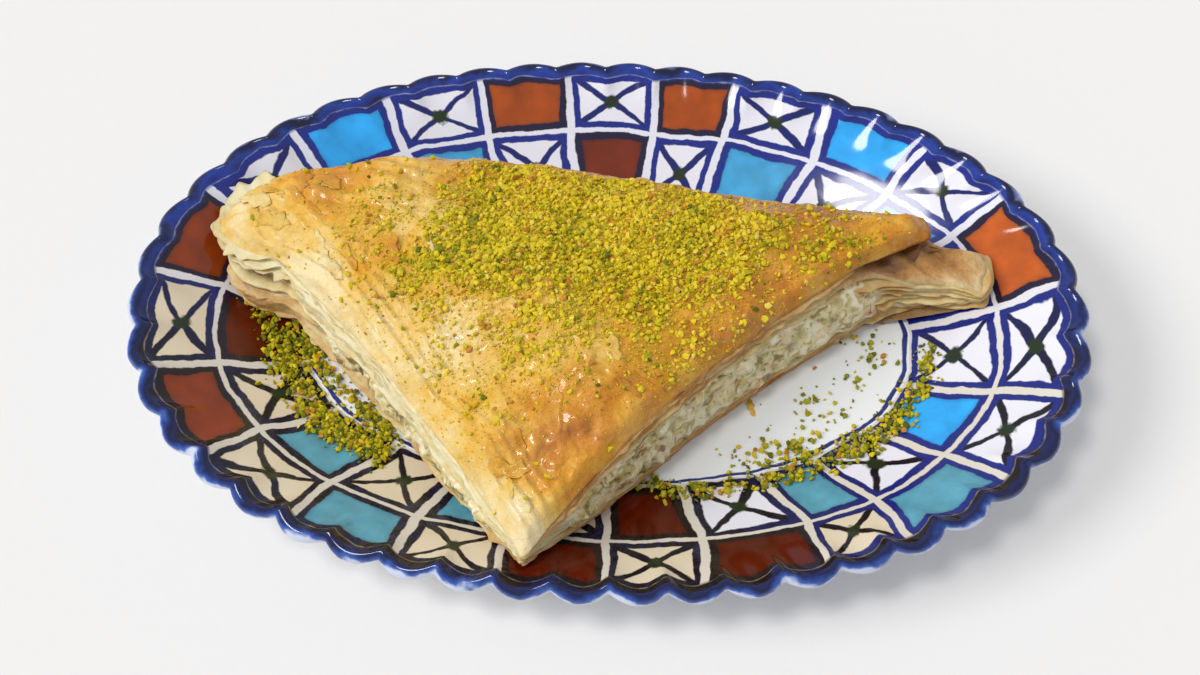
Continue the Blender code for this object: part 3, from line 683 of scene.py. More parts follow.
def wallRows():
    # the side with its relief: set back where the filling lies, in or out sheet by sheet, crinkled
    column, down = np.broadcast_arrays(np.arange(columnCount, dtype=float),
                                       np.linspace(0.0, 1.0, pastry["wallRows"] + 1)[1:, None])
    plan, high, out = sidePlace(column, down)
    run = np.broadcast_to(edgeRun, column.shape)
    fromTip = np.linalg.norm(crustEdge[:, :2] - crustEdge[0, :2], axis=1)
    belly = ease((fromTip - 12 * mm) / (16 * mm))
    setBack = 0.0
    for kind, depth, start, grow, end, fade in pastry["setBack"]:
        here = sideWeight[kind] * (belly if kind in ("right", "left") else 1.0)
        setBack = setBack + depth * mm * ease((down - start) / grow) * ease((end - down) / fade) * here
    wander = 1.2 * puff(flat(run, 0.0), 13, 21) + 0.5 * puff(flat(run, 0.0), 4, 22)
    sheet = down * pastry["layers"] + wander
    number = np.floor(sheet)
    inside = sheet - number
    perSheet = flat(run, number * 9 * mm)
    offset = 0.8 * puff(perSheet, 6.5, 31) + 0.5 * puff(perSheet, 2.2, 32)
    groove = -0.8 * np.abs(2.0 * inside - 1.0) ** 3
    strength = 0.6 * sideWeight["right"] + 0.75 * sideWeight["left"] + sideWeight["flap"]
    strength = strength + sideWeight["leftEnd"] * (1 - 0.9 * ease((down - 0.52) / 0.1))
    strength = (strength + 0.25 * sideWeight["fold"]) * ease(down / 0.06) * (1 - 0.5 * ease((down - 0.9) / 0.1))
    overSide = flat(run, down * 16 * mm)
    crinkle = 0.5 * mm * puff(overSide, 2.8, 41) + 0.3 * mm * puff(overSide, 1.3, 42)
    pleat = 0.8 * mm * puff(flat(run, down * 3 * mm), 2.6, 43) * sideWeight["flap"] * ease((0.45 - down) / 0.1)
    high = high + pleat * ease((down - 0.1) / 0.08)
    shift = pastry["layerDepth"] * mm * (offset + groove) * strength - setBack + crinkle * ease(down / 0.08)
    plan = plan + out * shift[..., None]
    floorHere = plateHeight(plan[..., 0], plan[..., 1]) + pastry["restGap"] * mm
    rows = np.concatenate([plan, np.maximum(high, floorHere)[..., None]], axis=-1)
    # painted shade: darker in the grooves between sheets and where the side is set back
    deep = np.clip(-groove * 0.5 * strength + setBack / (5 * mm) * (1 - 0.35 * sideWeight["flap"]), 0.0, 1.0)
    return rows, down, number, deep


def dustAt(x, y):
    # how thickly ground pistachio lies on the crust, 0 to 1: a long patch with ragged edges
    middleX, middleY, halfLong, halfWide = pastry["dustPatch"]
    fromX, fromY = x - middleX * mm, y - middleY * mm
    across = (fromX * 0.985 + fromY * 0.17) / (halfLong * mm)
    along = (fromY * 0.985 - fromX * 0.17) / (halfWide * mm)
    reach = np.sqrt(across ** 2 + along ** 2)
    place = flat(x, y)
    uneven = 0.22 * puff(place, 11, 71) + 0.20 * puff(place, 5, 72)
    dust = ease((1.10 - reach + uneven) / 0.60)
    patchy = 1.0 + 0.8 * puff(place, 4, 73)
    for spotX, spotY, size, strength in pastry["dustSpots"]:
        dust = np.maximum(dust, strength * mound(x, y, spotX, spotY, size) * patchy)
    return np.clip(dust, 0.0, 1.0)


def bakeAt(x, y):
    # how far each spot of the crust is baked: 0 pale and soft, 1 deep orange-brown
    fromLeft, along = lineDistance(x, y, "leftShoulder", "nearTip")
    bake = 0.52 + 0.15 * puff(flat(x, y), 15, 51) + 0.12 * puff(flat(x, y), 5, 52)
    bake += 0.14 * ease(x / (45 * mm))
    bake -= 0.42 * np.exp(-((fromLeft - 1 * mm) / (8 * mm)) ** 2) * (0.4 + 0.6 * ease((along + 5 * mm) / (12 * mm)))
    for spotX, spotY, size, change in pastry["baked"]:
        bake += change * mound(x, y, spotX, spotY, size)
    return bake


def makeBody(material):
    wall, down, number, deep = wallRows()
    shrink = np.linspace(0.95, 0.05, pastry["baseRows"])[:, None, None]
    plan = crown[:2] + (wall[-1, :, :2] - crown[:2]) * shrink
    high = plateHeight(plan[..., 0], plan[..., 1]) + pastry["restGap"] * mm
    below = np.concatenate([plan, high[..., None]], axis=-1)
    rows = np.concatenate([crustGrid, wall, below])
    top = (crown[0], crown[1], crustGrid[0, :, 2].mean())
    bottom = (crown[0], crown[1], float(plateHeight(crown[0], crown[1])) + pastry["restGap"] * mm)
    points = np.concatenate([rows.reshape(-1, 3), [top, bottom]])

    # what the material reads: browning (with painted shade just under the crust on the flap), cut side, painted shade
    # in the hollows and underneath, pistachio dust and syrup
    x, y = crustGrid[..., 0], crustGrid[..., 1]
    # browning of the sides, darker towards the bottom; the flap's darker band just under the crust is painted shade of
    # the recess there as well as browning
    wallBakeAndShade = (
        sideWeight["right"] * (0.62 - 0.34 * ease((down - 0.04) / 0.24) + 0.16 * ease((down - 0.78) / 0.12))
        + sideWeight["left"] * (0.10 + 0.34 * ease((down - 0.74) / 0.2))
        + sideWeight["flap"] * (0.92 - 0.60 * ease((down - 0.14) / 0.15) - 0.08 * ease((down - 0.45) / 0.2))
        + sideWeight["leftEnd"] * (0.12 + 0.36 * ease((down - 0.45) / 0.15))
        + sideWeight["fold"] * (0.55 - 0.2 * down)
        + 0.14 * puff(flat(np.broadcast_to(edgeRun, down.shape), number * 9 * mm), 9, 61))
    browned = np.concatenate([bakeAt(x, y), wallBakeAndShade, np.full(below.shape[:2], 0.35)])
    side = np.concatenate([np.broadcast_to(ease((crustShares[:, None] - 0.97) / 0.03) * 0.3, x.shape),
                           0.3 + 0.7 * ease((down - 0.02) / 0.16), np.ones(below.shape[:2])])
    # painted shade: none on the crust, the grooves and recesses of the sides, and a fixed shade underneath
    hollow = np.concatenate([np.zeros(x.shape), deep, np.full(below.shape[:2], 0.6)])
    dusted = np.concatenate([dustAt(x, y), np.zeros(down.shape), np.zeros(below.shape[:2])])
    wet = wetness(rows[..., 0], rows[..., 1])
    values = {}
    for label, grid in (("browned", browned), ("side", side), ("hollow", hollow), ("dusted", dusted), ("wet", wet)):
        values[label] = np.append(grid.ravel(), [grid[0].mean(), grid[-1].mean()])
    piece = putMesh("foldedPastry", points, shellFaces(len(rows), columnCount), material, values)
    keep(piece, "baked_filo", "pastry")


def filoColour(add, spot, browned):
    # the browning of filo, mottled at 5.5 mm and speckled at 1.3 mm
    blotch = add("TexNoise", spot, Scale=1 / (5.5 * mm), Detail=5.0, Roughness=0.66)
    speck = add("TexNoise", spot, Scale=1 / (1.3 * mm), Detail=4.0, Roughness=0.6)
    mottled = add("Math", blotch, 0.80, -0.40, operation="MULTIPLY_ADD")
    mottled = add("Math", mottled, browned, operation="ADD")
    mottled = add("Math", speck, 0.30, mottled, operation="MULTIPLY_ADD")
    return add("Math", mottled, 0.15, operation="SUBTRACT"), speck


def bakedFilo():
    # Filo pastry: buttered sheets baked crisp and golden, then soaked in syrup, which gives the crust a
    # wet coat and leaves the cut sides pale, matt and a little translucent
    material, add, shader = newMaterial("bakedFilo")
    spot = add("TexCoord").outputs["Object"]
    browned, side, hollow, dusted, wet = (add("Attribute", attribute_name=label).outputs["Fac"]
                                          for label in ("browned", "side", "hollow", "dusted", "wet"))
    mottled, speck = filoColour(add, spot, browned)
    crust = add("ValToRGB", mottled, stops=(
        (0.0, "f6e3b0"), (0.20, "f0cf80"), (0.38, "eabb50"), (0.55, "e0a028"), (0.74, "d08518"),
        (0.90, "b66c10"), (1.0, "a05a12")))
    cutFace = add("ValToRGB", mottled, stops=(
        (0.0, "eee3bd"), (0.2, "e4d09c"), (0.4, "d6b078"), (0.6, "bd8a4a"), (0.8, "8f6030"), (1.0, "5e3c1c")))
    # painted shade: darker brown in the grooves, the recesses and underneath
    shade = add("MapRange", hollow, 0.15, 0.9)
    # powder of the ground pistachio clings to the syrup between the grains
    powder = add("MapRange", speck, 0.35, 0.6)
    powder = add("Math", powder, dusted, operation="MULTIPLY")
    powder = add("Math", powder, 0.85, operation="MULTIPLY")
    colour = crust
    for mask, over in ((side, cutFace), (shade, "684018"), (powder, "ccae1a")):
        colour = add("Mix", mask, colour, over, data_type="RGBA")
    dull = add("Math", side, 0.22, 0.24, operation="MULTIPLY_ADD")
    for cause, change in ((dusted, 0.35), (speck, 0.2), (wet, -0.2)):
        dull = add("Math", cause, change, dull, operation="MULTIPLY_ADD")
    # fine flaking: torn edges of the top sheets, and crinkles of about a millimetre
    flake = add("TexNoise", spot, Scale=1 / (4.5 * mm), Detail=4.0, Roughness=0.6)
    flake = add("Math", flake, 12.0, operation="MULTIPLY")
    step = add("Math", flake, operation="FLOOR")
    rise = add("Math", flake, step, operation="SUBTRACT")
    rise = add("MapRange", rise, 0.0, 0.22, interpolation_type="SMOOTHSTEP")
    step = add("Math", step, rise, operation="ADD")
    crinkle = add("TexNoise", spot, Scale=1 / (1.0 * mm), Detail=5.0, Roughness=0.65)
    relief = add("Math", crinkle, 2.2, step, operation="MULTIPLY_ADD")
    bump = add("Bump", Height=relief, Strength=0.6, Distance=0.13 * mm)
    # the syrup lies in patches of 9 mm, soaked up where the pistachio is
    syrup = add("TexNoise", spot, Scale=1 / (9 * mm), Detail=3.0)
    syrup = add("MapRange", syrup, 0.44, 0.60, 0.12, 0.85)
    bare = add("Math", dusted, -0.7, 1.0, operation="MULTIPLY_ADD")
    syrup = add("Math", syrup, bare, wet, operation="MULTIPLY_ADD")
    setInputs(shader, {
        "Base Color": colour, "Roughness": dull, "Normal": bump, "IOR": 1.47, "Subsurface Weight": 0.15,
        "Subsurface Radius": (1.0, 0.55, 0.25), "Subsurface Scale": 1.6 * mm, "Coat Weight": syrup,
        "Coat Roughness": 0.10, "Coat IOR": 1.45})
    return material


crustFilo = bakedFilo()
makeBody(crustFilo)
print("pastry made")


def tubeFaces(count, number, around):
    # closed tubes: each ring joined to the next, both ends capped
    index = np.arange(count * number * around).reshape(count, number, around)
    after = np.roll(index, -1, axis=2)
    quads = np.stack([index[:, :-1], after[:, :-1], after[:, 1:], index[:, 1:]], axis=-1).reshape(-1, 4)
    return quads.tolist() + index[:, 0, ::-1].tolist() + index[:, -1].tolist()


# Loose filo sheets that stand out of the sides. Each is (first column, last column, how far down
# the side from 0 to 1, reach, thickness, how wavy, browning)
sheets = {
    "steps": 110,
    "depth": 3.0,  # how far each goes into the stack
    "plan": (
        (6, 152, 0.07, 0.9, 0.45, 0.5, 0.55), (14, 148, 0.15, 1.0, 0.40, 0.6, 0.42),
        (26, 146, 0.22, 0.8, 0.35, 0.6, 0.30), (20, 96, 0.33, 0.5, 0.30, 1.3, 0.16),
        (70, 150, 0.38, 0.7, 0.30, 1.6, 0.22), (24, 80, 0.52, 0.5, 0.28, 2.0, 0.10),
        (90, 152, 0.58, 0.6, 0.28, 1.8, 0.14), (40, 130, 0.68, 0.5, 0.30, 1.5, 0.26),
        (16, 90, 0.76, 0.7, 0.30, 1.0, 0.36), (4, 150, 0.85, 0.5, 0.40, 0.3, 0.36),
        (8, 154, 0.91, 0.5, 0.35, 0.25, 0.44), (12, 150, 0.97, 0.4, 0.35, 0.15, 0.60),
        (148, 208, 0.30, 1.6, 0.40, 0.5, 0.52), (144, 206, 0.38, 1.2, 0.35, 0.5, 0.42),
        (148, 205, 0.47, 1.6, 0.40, 0.5, 0.35), (146, 208, 0.57, 1.2, 0.35, 0.5, 0.20),
        (150, 206, 0.67, 1.8, 0.40, 0.4, 0.30), (148, 207, 0.78, 1.2, 0.35, 0.3, 0.22),
        (146, 206, 0.90, 1.6, 0.35, 0.2, 0.42), (446, 512, 0.02, 3.4, 0.25, 1.0, 0.20),
        (450, 508, 0.08, 2.0, 0.25, 1.2, 0.08), (452, 514, 0.15, 2.8, 0.25, 1.3, 0.22),
        (448, 510, 0.22, 1.2, 0.25, 1.0, 0.06), (458, 516, 0.44, 0.6, 0.30, 0.6, 0.20),
        (452, 522, 0.58, 1.8, 0.45, 0.3, 0.42), (450, 524, 0.90, 1.8, 0.40, 0.2, 0.44),
        (506, 634, 0.06, 0.8, 0.40, 0.5, 0.10), (510, 630, 0.16, 1.1, 0.35, 0.6, 0.04),
        (504, 636, 0.28, 0.9, 0.35, 0.6, 0.14), (512, 628, 0.42, 0.9, 0.35, 0.5, 0.08),
        (508, 632, 0.86, 1.2, 0.45, 0.3, 0.40), (512, 630, 0.94, 1.5, 0.40, 0.2, 0.34),
    ),
}


def makeSheets(material):
    # thin wavy strips: the height wanders along the strip and the outer edge is ragged
    plan = np.array(sheets["plan"])
    first, last, down, reach, thick, wavy, browned = (part[:, None] for part in plan.T)
    share = np.linspace(0.0, 1.0, sheets["steps"])
    column = first + (last - first) * share
    which = np.broadcast_to(np.arange(len(plan))[:, None] * 7 * mm, column.shape)
    run = pick(edgeRun, np.clip(column, 0, columnCount - 1.001))
    taper = ease(share / 0.06) * ease((1 - share) / 0.06)
    ragged = 0.65 + 0.55 * puff(flat(run, which), 7, 81) + 0.45 * puff(flat(run, which), 1.8, 82)
    reachHere = reach * mm * np.clip(ragged, 0.05, 2.0) * taper
    level = down + 0.045 * wavy * puff(flat(run, which), 9, 83)
    curl = wavy * mm * 0.8 * puff(flat(run, which), 5, 84)
    across = np.array([-1.0, -0.3, 0.25, 0.65, 1.0])
    ring = np.concatenate([across, across[::-1]])
    face = np.concatenate([np.ones(5), -np.ones(5)])
    thin = np.concatenate([[1.0, 1.0, 0.9, 0.7, 0.3], [0.3, 0.7, 0.9, 1.0, 1.0]])
    place, high, out = sidePlace(column, level)
    off = np.where(ring < 0, sheets["depth"] * mm * ring, reachHere[..., None] * ring)
    points = np.empty((*column.shape, len(ring), 3))
    points[..., :2] = place[..., None, :] + out[..., None, :] * off[..., None]
    bend = np.clip(ring, 0, 1) ** 2
    points[..., 2] = high[..., None] + curl[..., None] * bend + (thick * mm / 2)[..., None] * thin * face
    floor = plateHeight(points[..., 0], points[..., 1]) + 0.15 * mm + 0.5 * thin * (face + 1) * 0.3 * mm
    points[..., 2] = np.maximum(points[..., 2], floor)
    tone = (browned + 0.12 * puff(flat(run, which), 6, 85))[..., None] + 0.10 * bend
    faces = tubeFaces(len(plan), sheets["steps"], len(ring))
    piece = putMesh("looseSheets", points.reshape(-1, 3), faces, material, {"browned": tone.ravel()})
    keep(piece, "baked_filo")


def thinFilo():
    # Single filo sheets: a baked wafer 0.3 mm thick, matt and slightly translucent, so thin edges glow
    material, add, shader = newMaterial("thinFilo")
    spot = add("TexCoord").outputs["Object"]
    browned = add("Attribute", attribute_name="browned").outputs["Fac"]
    mottled, speck = filoColour(add, spot, browned)
    colour = add("ValToRGB", mottled, stops=(
        (0.0, "f2e8c4"), (0.25, "e6d19c"), (0.5, "d2ab6e"), (0.75, "b07c3e"), (1.0, "7a4a20")))
    dull = add("MapRange", speck, 0.0, 1.0, 0.35, 0.55)
    bump = add("Bump", Height=speck, Strength=0.4, Distance=0.2 * mm)
    setInputs(shader, {
        "Base Color": colour, "Roughness": dull, "Normal": bump, "IOR": 1.47, "Subsurface Weight": 0.3,
        "Subsurface Radius": (1.0, 0.6, 0.3), "Subsurface Scale": 1.5 * mm})
    return material


makeSheets(thinFilo())
print("loose sheets made")

# Filling: a soft cream with ground pistachio, pressed out between the bottom and top stacks.
# Each run is (first column, last column, down, half height in down, offset, half depth)
filling = {
    "steps": 320,
    "around": 28,
    "runs": ((12.0, 158.0, 0.53, 0.31, -1.9, 2.1), (522.0, 628.0, 0.68, 0.15, -1.0, 1.2)),
}


def makeFilling(material):
    # a flattened tube along the side, squarish in section, wrinkled at 4, 2 and 1 mm
    runs = np.array(filling["runs"])[:, :, None]
    first, last, middle, tall, off, deep = (runs[:, part] for part in range(6))
    share = np.linspace(0.0, 1.0, filling["steps"])
    column = first + (last - first) * share
    swell = np.sqrt(np.clip(ease(share / 0.10) * ease((1 - share) / 0.07), 0.01, 1))
    angle = np.arange(filling["around"]) / filling["around"] * 2 * math.pi
    up = np.sign(np.sin(angle)) * np.abs(np.sin(angle)) ** 0.6
    side = -np.sign(np.cos(angle)) * np.abs(np.cos(angle)) ** 0.6
    run = pick(edgeRun, column)
    level = (middle + 0.03 * puff(flat(run, 0.0), 12, 91))[..., None] - (tall * swell)[..., None] * up
    columns = np.broadcast_to(column[..., None], level.shape)
    place, high, out = sidePlace(columns, level)
    spot = flat(run[..., None], level * 18 * mm, off[..., None] * mm)
    creased = 1.0 - 2.0 * np.abs(puff(spot * (0.7, 1.0, 1.0), 3.6, 92))
    wrinkle = 0.95 * creased + 0.80 * puff(spot, 1.9, 93) + 0.45 * puff(spot, 1.0, 94)
    shift = off[..., None] + (deep * swell)[..., None] * side + wrinkle * (side > -0.5) * swell[..., None]
    points = np.concatenate([place + out * shift[..., None] * mm, high[..., None]], axis=-1)
    floor = plateHeight(points[..., 0], points[..., 1]) + 0.5 * mm
    points[..., 2] = np.maximum(points[..., 2], floor)
    values = {"raised": np.clip(0.5 + 0.5 * wrinkle, 0, 1).ravel(),
              "lower": np.clip((level - 0.25) / 0.6, 0, 1).ravel()}
    faces = tubeFaces(len(runs), filling["steps"], filling["around"])
    piece = putMesh("pistachioCream", points.reshape(-1, 3), faces, material, values)
    keep(piece, "pistachio_cream", "filling")


def pistachioCream():
    # Clotted cream with ground pistachio, steamed and pressed in the stack: soft, moist, faintly green
    material, add, shader = newMaterial("pistachioCream")
    spot = add("TexCoord").outputs["Object"]
    raised, lower = (add("Attribute", attribute_name=label).outputs["Fac"] for label in ("raised", "lower"))
    patch = add("TexNoise", spot, Scale=1 / (6 * mm), Detail=3.0)
    nut = add("TexNoise", spot, Scale=1 / (1.4 * mm), Detail=3.0)
    fold = add("TexNoise", spot, Scale=1 / (3.2 * mm), Detail=4.0, Distortion=1.2)
    colour = add("ValToRGB", patch, stops=(
        (0.30, "e8b88c"), (0.42, "f2e0ae"), (0.54, "e2d294"), (0.68, "b8a85a")))
    # painted highlights on the folds, painted shade in the creases, green bits of nut, painted shade in the hollows and
    # a painted shadow along
    # the lower edge: what each reads, from where to where it grows, how much it covers, its colour
    for value, start, end, most, over in (
            (fold, 0.50, 0.60, 1.0, "fdf2d0"), (fold, 0.45, 0.36, 0.75, "76562c"), (nut, 0.58, 0.68, 0.6, "8f8a3a"),
            (raised, 0.36, 0.05, 0.75, "5e4426"), (lower, 0.78, 1.0, 0.75, "5e4526")):
        mask = add("MapRange", value, start, end, 0.0, most)
        colour = add("Mix", mask, colour, over, data_type="RGBA")
    bump = add("Bump", Height=nut, Strength=0.5, Distance=0.4 * mm)
    setInputs(shader, {
        "Base Color": colour, "Normal": bump, "Roughness": 0.42, "IOR": 1.45, "Subsurface Weight": 0.3,
        "Subsurface Radius": (1.0, 0.8, 0.4), "Subsurface Scale": 1.5 * mm})
    return material


makeFilling(pistachioCream())
print("filling made")

# Ground pistachio: uneven kernels of 0.5 to 1.4 mm, each its own turned and squeezed icosahedron
nuts = {
    "seed": 11,
    "tries": 200000,  # places tried over the crust, of which the first that hold pistachio are kept
    # on the crust: name, how many, half sizes (most near the smaller), how sharply they end, and
    # whether it is powder, which is plainer and browner
    "onCrust": (
        ("crustPistachio", 9800, (0.24, 0.72), 1.3, False),
        ("pistachioPowder", 22000, (0.12, 0.26), 0.75, True),
    ),
    "sizeOnPlate": (0.26, 0.78),
    # heaps on the plate: line of places, how many, spread, height
    "heaps": (
        (((-75, 6), (-70, -4), (-66, -14), (-60, -22), (-53, -27), (-46, -30)), 1150, 3.2, 1.0),
        (((-66, 5), (-66, -2), (-60, -10), (-51, -19), (-44, -26)), 500, 2.4, 0.8),
        (((69, 0), (68, -8), (63, -16), (58, -22), (49, -28), (41, -31), (33, -33), (24, -35.5), (16, -36.3),
          (9, -34)), 560, 2.2, 0.8),
        (((63, -17), (57, -21), (50, -26)), 160, 3.0, 1.0),
        (((30, -25), (39, -19), (50, -14), (55, -4), (60, 1)), 110, 6.0, 0.0),
        (((28, -28), (38, -27), (46, -23)), 90, 2.8, 0.3),
    ),
}


def makeGrains(name, places, sizes, tones, material, seed, powder=False):
    # an icosahedron for each place (an octahedron for powder), stretched, roughened and turned at
    # random by a unit quaternion (w, q): v + 2 q x (q x v + w v)
    gold = (1 + math.sqrt(5)) / 2
    corners = np.array([(-1, gold, 0), (1, gold, 0), (-1, -gold, 0), (1, -gold, 0), (0, -1, gold), (0, 1, gold),
                        (0, -1, -gold), (0, 1, -gold), (gold, 0, -1), (gold, 0, 1), (-gold, 0, -1), (-gold, 0, 1)])
    corners /= np.linalg.norm(corners[0])
    sides = np.array([(0, 11, 5), (0, 5, 1), (0, 1, 7), (0, 7, 10), (0, 10, 11), (1, 5, 9), (5, 11, 4), (11, 10, 2),
                      (10, 7, 6), (7, 1, 8), (3, 9, 4), (3, 4, 2), (3, 2, 6), (3, 6, 8), (3, 8, 9), (4, 9, 5),
                      (2, 4, 11), (6, 2, 10), (8, 6, 7), (9, 8, 1)])
    if powder:
        corners = np.array([(1, 0, 0), (-1, 0, 0), (0, 1, 0), (0, -1, 0), (0, 0, 1), (0, 0, -1)], float)
        sides = np.array([(0, 2, 4), (2, 1, 4), (1, 3, 4), (3, 0, 4), (2, 0, 5), (1, 2, 5), (3, 1, 5), (0, 3, 5)])
    chance = np.random.default_rng(seed)
    count = len(places)
    spin = chance.normal(size=(count, 4))
    spin /= np.linalg.norm(spin, axis=1)[:, None]
    real, axis = spin[:, None, :1], spin[:, None, 1:]
    shape = corners * chance.uniform(0.62, 1.38, (count, len(corners), 1)) * chance.uniform(0.5, 1.3, (count, 1, 3))
    shape = shape + 2 * np.cross(axis, np.cross(axis, shape) + real * shape)
    points = shape * sizes[:, None, None] + places[:, None, :]
    faces = (sides + np.arange(count)[:, None, None] * len(corners)).reshape(-1, 3)
    tone = np.repeat(tones, len(corners))
    piece = putMesh(name, points.reshape(-1, 3), faces.tolist(), material, {"grainTone": tone})
    piece.data.shade_flat()
    keep(piece, "pistachio_cream")


def groundPistachio():
    # Ground pistachio kernels: waxy and opaque, yellow-green inside with bits of darker skin
    material, add, shader = newMaterial("groundPistachio")
    spot = add("TexCoord").outputs["Object"]
    tone = add("Attribute", attribute_name="grainTone").outputs["Fac"]
    fine = add("TexNoise", spot, Scale=1 / (0.5 * mm), Detail=2.0)
    tone = add("Math", fine, 0.16, tone, operation="MULTIPLY_ADD")
    colour = add("ValToRGB", tone, stops=(
        (0.08, "545c06"), (0.24, "8e9008"), (0.42, "c0b00e"), (0.60, "dcc618"), (0.78, "e6cc2c"),
        (0.90, "e8d458"), (1.0, "c08228")))
    bump = add("Bump", Height=fine, Strength=0.3, Distance=0.1 * mm)
    setInputs(shader, {"Base Color": colour, "Normal": bump, "Roughness": 0.55, "IOR": 1.47})
    return material


def scatterNuts(material):
    # on the crust: places kept in proportion to how thickly the pistachio lies there
    chance = np.random.default_rng(nuts["seed"])
    for name, count, (fine, coarse), sharpness, powder in nuts["onCrust"]:
        x, y = chance.uniform(-78, 68, nuts["tries"]) * mm, chance.uniform(-56, 40, nuts["tries"]) * mm
        high, share = crustHeight(x, y)
        wanted = dustAt(x, y) ** sharpness + 0.012
        kept = (chance.uniform(0, 1, len(x)) < wanted) & (share < 0.992)
        x, y, high = (part[kept][:count] for part in (x, y, high))
        size = (fine + (coarse - fine) * chance.uniform(0, 1, len(x)) ** 1.8) * mm
        lift = np.where(chance.uniform(0, 1, len(x)) < 0.3, 0.9, 0.25) * size
        tone = np.clip(chance.normal(0.50, 0.19, len(x)) + 0.14 * puff(flat(x, y), 9, 74), 0.02, 0.93)
        brown = 0.03 + 0.40 * powder * ease(x / (40 * mm))
        tone = np.where(chance.uniform(0, 1, len(x)) < brown, 1.0, tone)
        makeGrains(name, np.stack([x, y, high + lift], axis=-1), size, tone, material, 12, powder)

    # on the plate: scattered about lines, piled highest along them
    parts = []
    for line, count, spread, pile in nuts["heaps"]:
        line = np.array(line, float)
        along = chance.uniform(0, len(line) - 1, count)
        clump = 0.35 * puff(flat(along * 9 * mm, spread * mm), 4, 75)
        along = np.clip(along + clump, 0, len(line) - 1)
        centre = np.stack([np.interp(along, np.arange(len(line)), line[:, part]) for part in (0, 1)], axis=-1)
        offset = chance.normal(0, 1, (count, 2))
        middle = np.exp(-(offset ** 2).sum(axis=1) * 0.7)
        parts.append(np.column_stack([centre + offset * spread * 0.6, pile * middle * chance.uniform(0, 1, count)]))
    places = np.concatenate(parts) * mm
    fine, coarse = nuts["sizeOnPlate"]
    size = (fine + (coarse - fine) * chance.uniform(0, 1, len(places)) ** 1.6) * mm
    high = plateHeight(places[:, 0], places[:, 1]) + size * 0.6 + places[:, 2]
    tone = np.clip(chance.normal(0.25, 0.20, len(places)), 0.03, 0.93)
    tone = np.where(chance.uniform(0, 1, len(places)) < 0.05, 1.0, tone)
    places[:, 2] = high
    makeGrains("platePistachio", places, size, tone, material, 13)


scatterNuts(groundPistachio())
print("pistachio scattered")

# Flakes of the top sheets, torn and lying on the crust. Each group is (x, y, how far apart, how many,
# half size, on the crust)
flakes = {
    "seed": 21,
    "groups": (
        (-78, 14, 9.0, 6, 4.0, True), (-66, 14, 12.0, 5, 4.4, True), (-52, 0, 16.0, 5, 4.0, True),
        (-28, -28, 18.0, 5, 3.8, True), (-14, -50, 9.0, 4, 3.2, True), (8, -28, 14.0, 4, 3.2, True),
        (50, 8, 20.0, 4, 3.2, True), (-42, 15, 12.0, 4, 3.8, True), (-60, 24, 12.0, 4, 3.8, True),
        (30, -14.5, 1.6, 3, 1.8, False), (34, -11, 2.5, 3, 0.9, False),
    ),
}


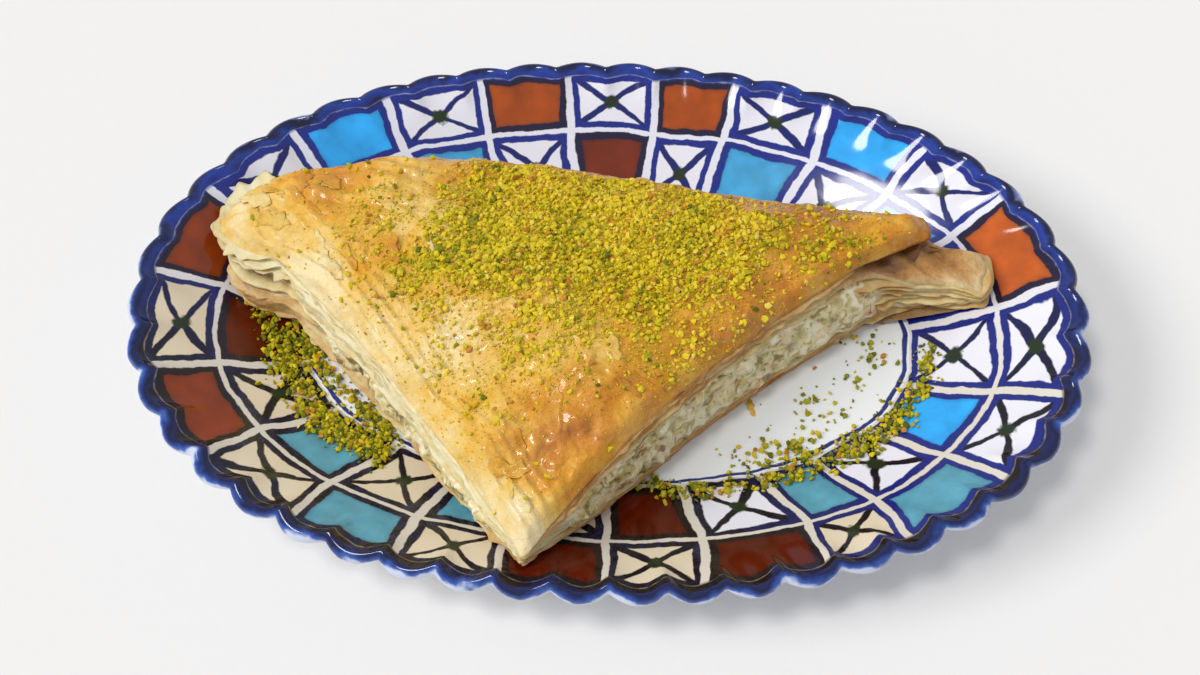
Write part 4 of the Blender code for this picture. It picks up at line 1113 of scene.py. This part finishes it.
def makeFlakes(material):
    # thin wafers laid over the surface below them and bent up a little by curl * u * u at the rim
    chance = np.random.default_rng(flakes["seed"])
    rows = []
    for x, y, spread, count, size, onCrust in flakes["groups"]:
        spots = chance.normal(0, 0.5, (count, 2)) * spread + (x, y)
        rows.append(np.column_stack([spots, size * chance.uniform(0.5, 1.2, count), np.full(count, onCrust)]))
    rows = np.concatenate(rows)
    _, share = crustHeight(rows[:, 0] * mm, rows[:, 1] * mm)
    rows = rows[(rows[:, 3] < 0.5) | (share < 0.93)]
    spots, size, onCrust = rows[:, :2] * mm, rows[:, 2, None, None] * mm, rows[:, 3, None, None] > 0.5
    count = len(rows)
    across = np.linspace(-1, 1, 7)
    ring = np.concatenate([across, across[::-1]])
    face = np.repeat([1.0, -1.0], 7)
    along = np.linspace(-1, 1, 9)[:, None]
    turn = chance.normal(0.75, 0.5, (count, 1, 1))  # most lie along the left side
    ragged = 1 + chance.uniform(-0.45, 0.45, (count, 9, 1))
    u = (ring * ragged + chance.uniform(-0.35, 0.35, (count, 9, 1))) * (1.04 - along ** 4)
    u = u * chance.uniform(0.12, 0.38, (count, 1, 1))
    v = np.broadcast_to(along, u.shape)
    x = spots[:, 0, None, None] + size * (u * np.cos(turn) - v * np.sin(turn))
    y = spots[:, 1, None, None] + size * (u * np.sin(turn) + v * np.cos(turn))
    under = np.where(onCrust, crustHeight(x, y)[0], plateHeight(x, y))
    curl = chance.uniform(0.0, 0.10, (count, 1, 1))
    lifted = curl * (np.abs(u) + chance.uniform(0, 1, (count, 1, 1)) * (v + 1)) ** 2 * size
    thick = 0.10 * mm * face * (1 - 0.6 * np.abs(ring) ** 3)
    points = np.stack([x, y, under + 0.16 * mm + lifted + thick], axis=-1)[:, ::-1]
    browned = np.where(rows[:, 3] > 0.5, bakeAt(spots[:, 0], spots[:, 1]), 0.45) + chance.normal(0, 0.06, count)
    tone = np.repeat(np.clip(browned, 0.0, 0.8), v[0].size)
    piece = putMesh("filoFlakes", points.reshape(-1, 3), tubeFaces(*v.shape), material, {"browned": tone})
    keep(piece, "baked_filo")


makeFlakes(crustFilo)
print("flakes made")

# Studio: a pale table top under an even sky; one soft light from above that the glaze and the syrup
# mirror, and a lower one from the left that only shades
studio = {
    "floorSize": 3.0,
    "sky": "fafafc",
    "skyStrength": 0.54,
    "lights": (
        # direction it comes from, breadth in degrees, strength, colour, whether glossy surfaces mirror it
        ((-0.32, -0.14, 0.93), 14.0, 0.85, "fffdfa", True),
        ((-0.76, -0.12, 0.62), 24.0, 1.40, "fffcf8", False),
    ),
}


def makeStudio():
    # Matt white table top, smooth card-like laminate that spreads light evenly
    material, add, shader = newMaterial("paleTable")
    grain = add("TexNoise", add("TexCoord").outputs["Object"], Scale=1 / (2 * mm), Detail=3.0)
    tone = add("Mix", grain, "eeeeee", "f0f0f0", data_type="RGBA")
    setInputs(shader, {"Base Color": tone, "Roughness": 0.7, "IOR": 1.45})
    half = studio["floorSize"] / 2
    corners = np.array([(-half, -half, 0.0), (half, -half, 0.0), (half, half, 0.0), (-half, half, 0.0)])
    floor = putMesh("tableTop", corners, [(0, 1, 2, 3)], material)
    world = bpy.data.worlds.new("studioLight")
    world.use_nodes = True
    world.node_tree.nodes["Background"].inputs[0].default_value = linear(studio["sky"])
    world.node_tree.nodes["Background"].inputs[1].default_value = studio["skyStrength"]
    bpy.context.scene.world = world
    for away, breadth, strength, colour, mirrored in studio["lights"]:
        light = bpy.data.lights.new("softLight", "SUN")
        light.angle = math.radians(breadth)
        light.energy = strength
        light.color = linear(colour)[:3]
        made = bpy.data.objects.new("softLight", light)
        away = np.array(away) / np.linalg.norm(away)
        made.location = away
        made.rotation_euler = (math.acos(away[2]), 0.0, math.atan2(away[0], -away[1]))
        made.visible_glossy = mirrored
        bpy.context.scene.collection.objects.link(made)
    bpy.context.scene.view_settings.view_transform = "Standard"


makeStudio()
print("studio set")
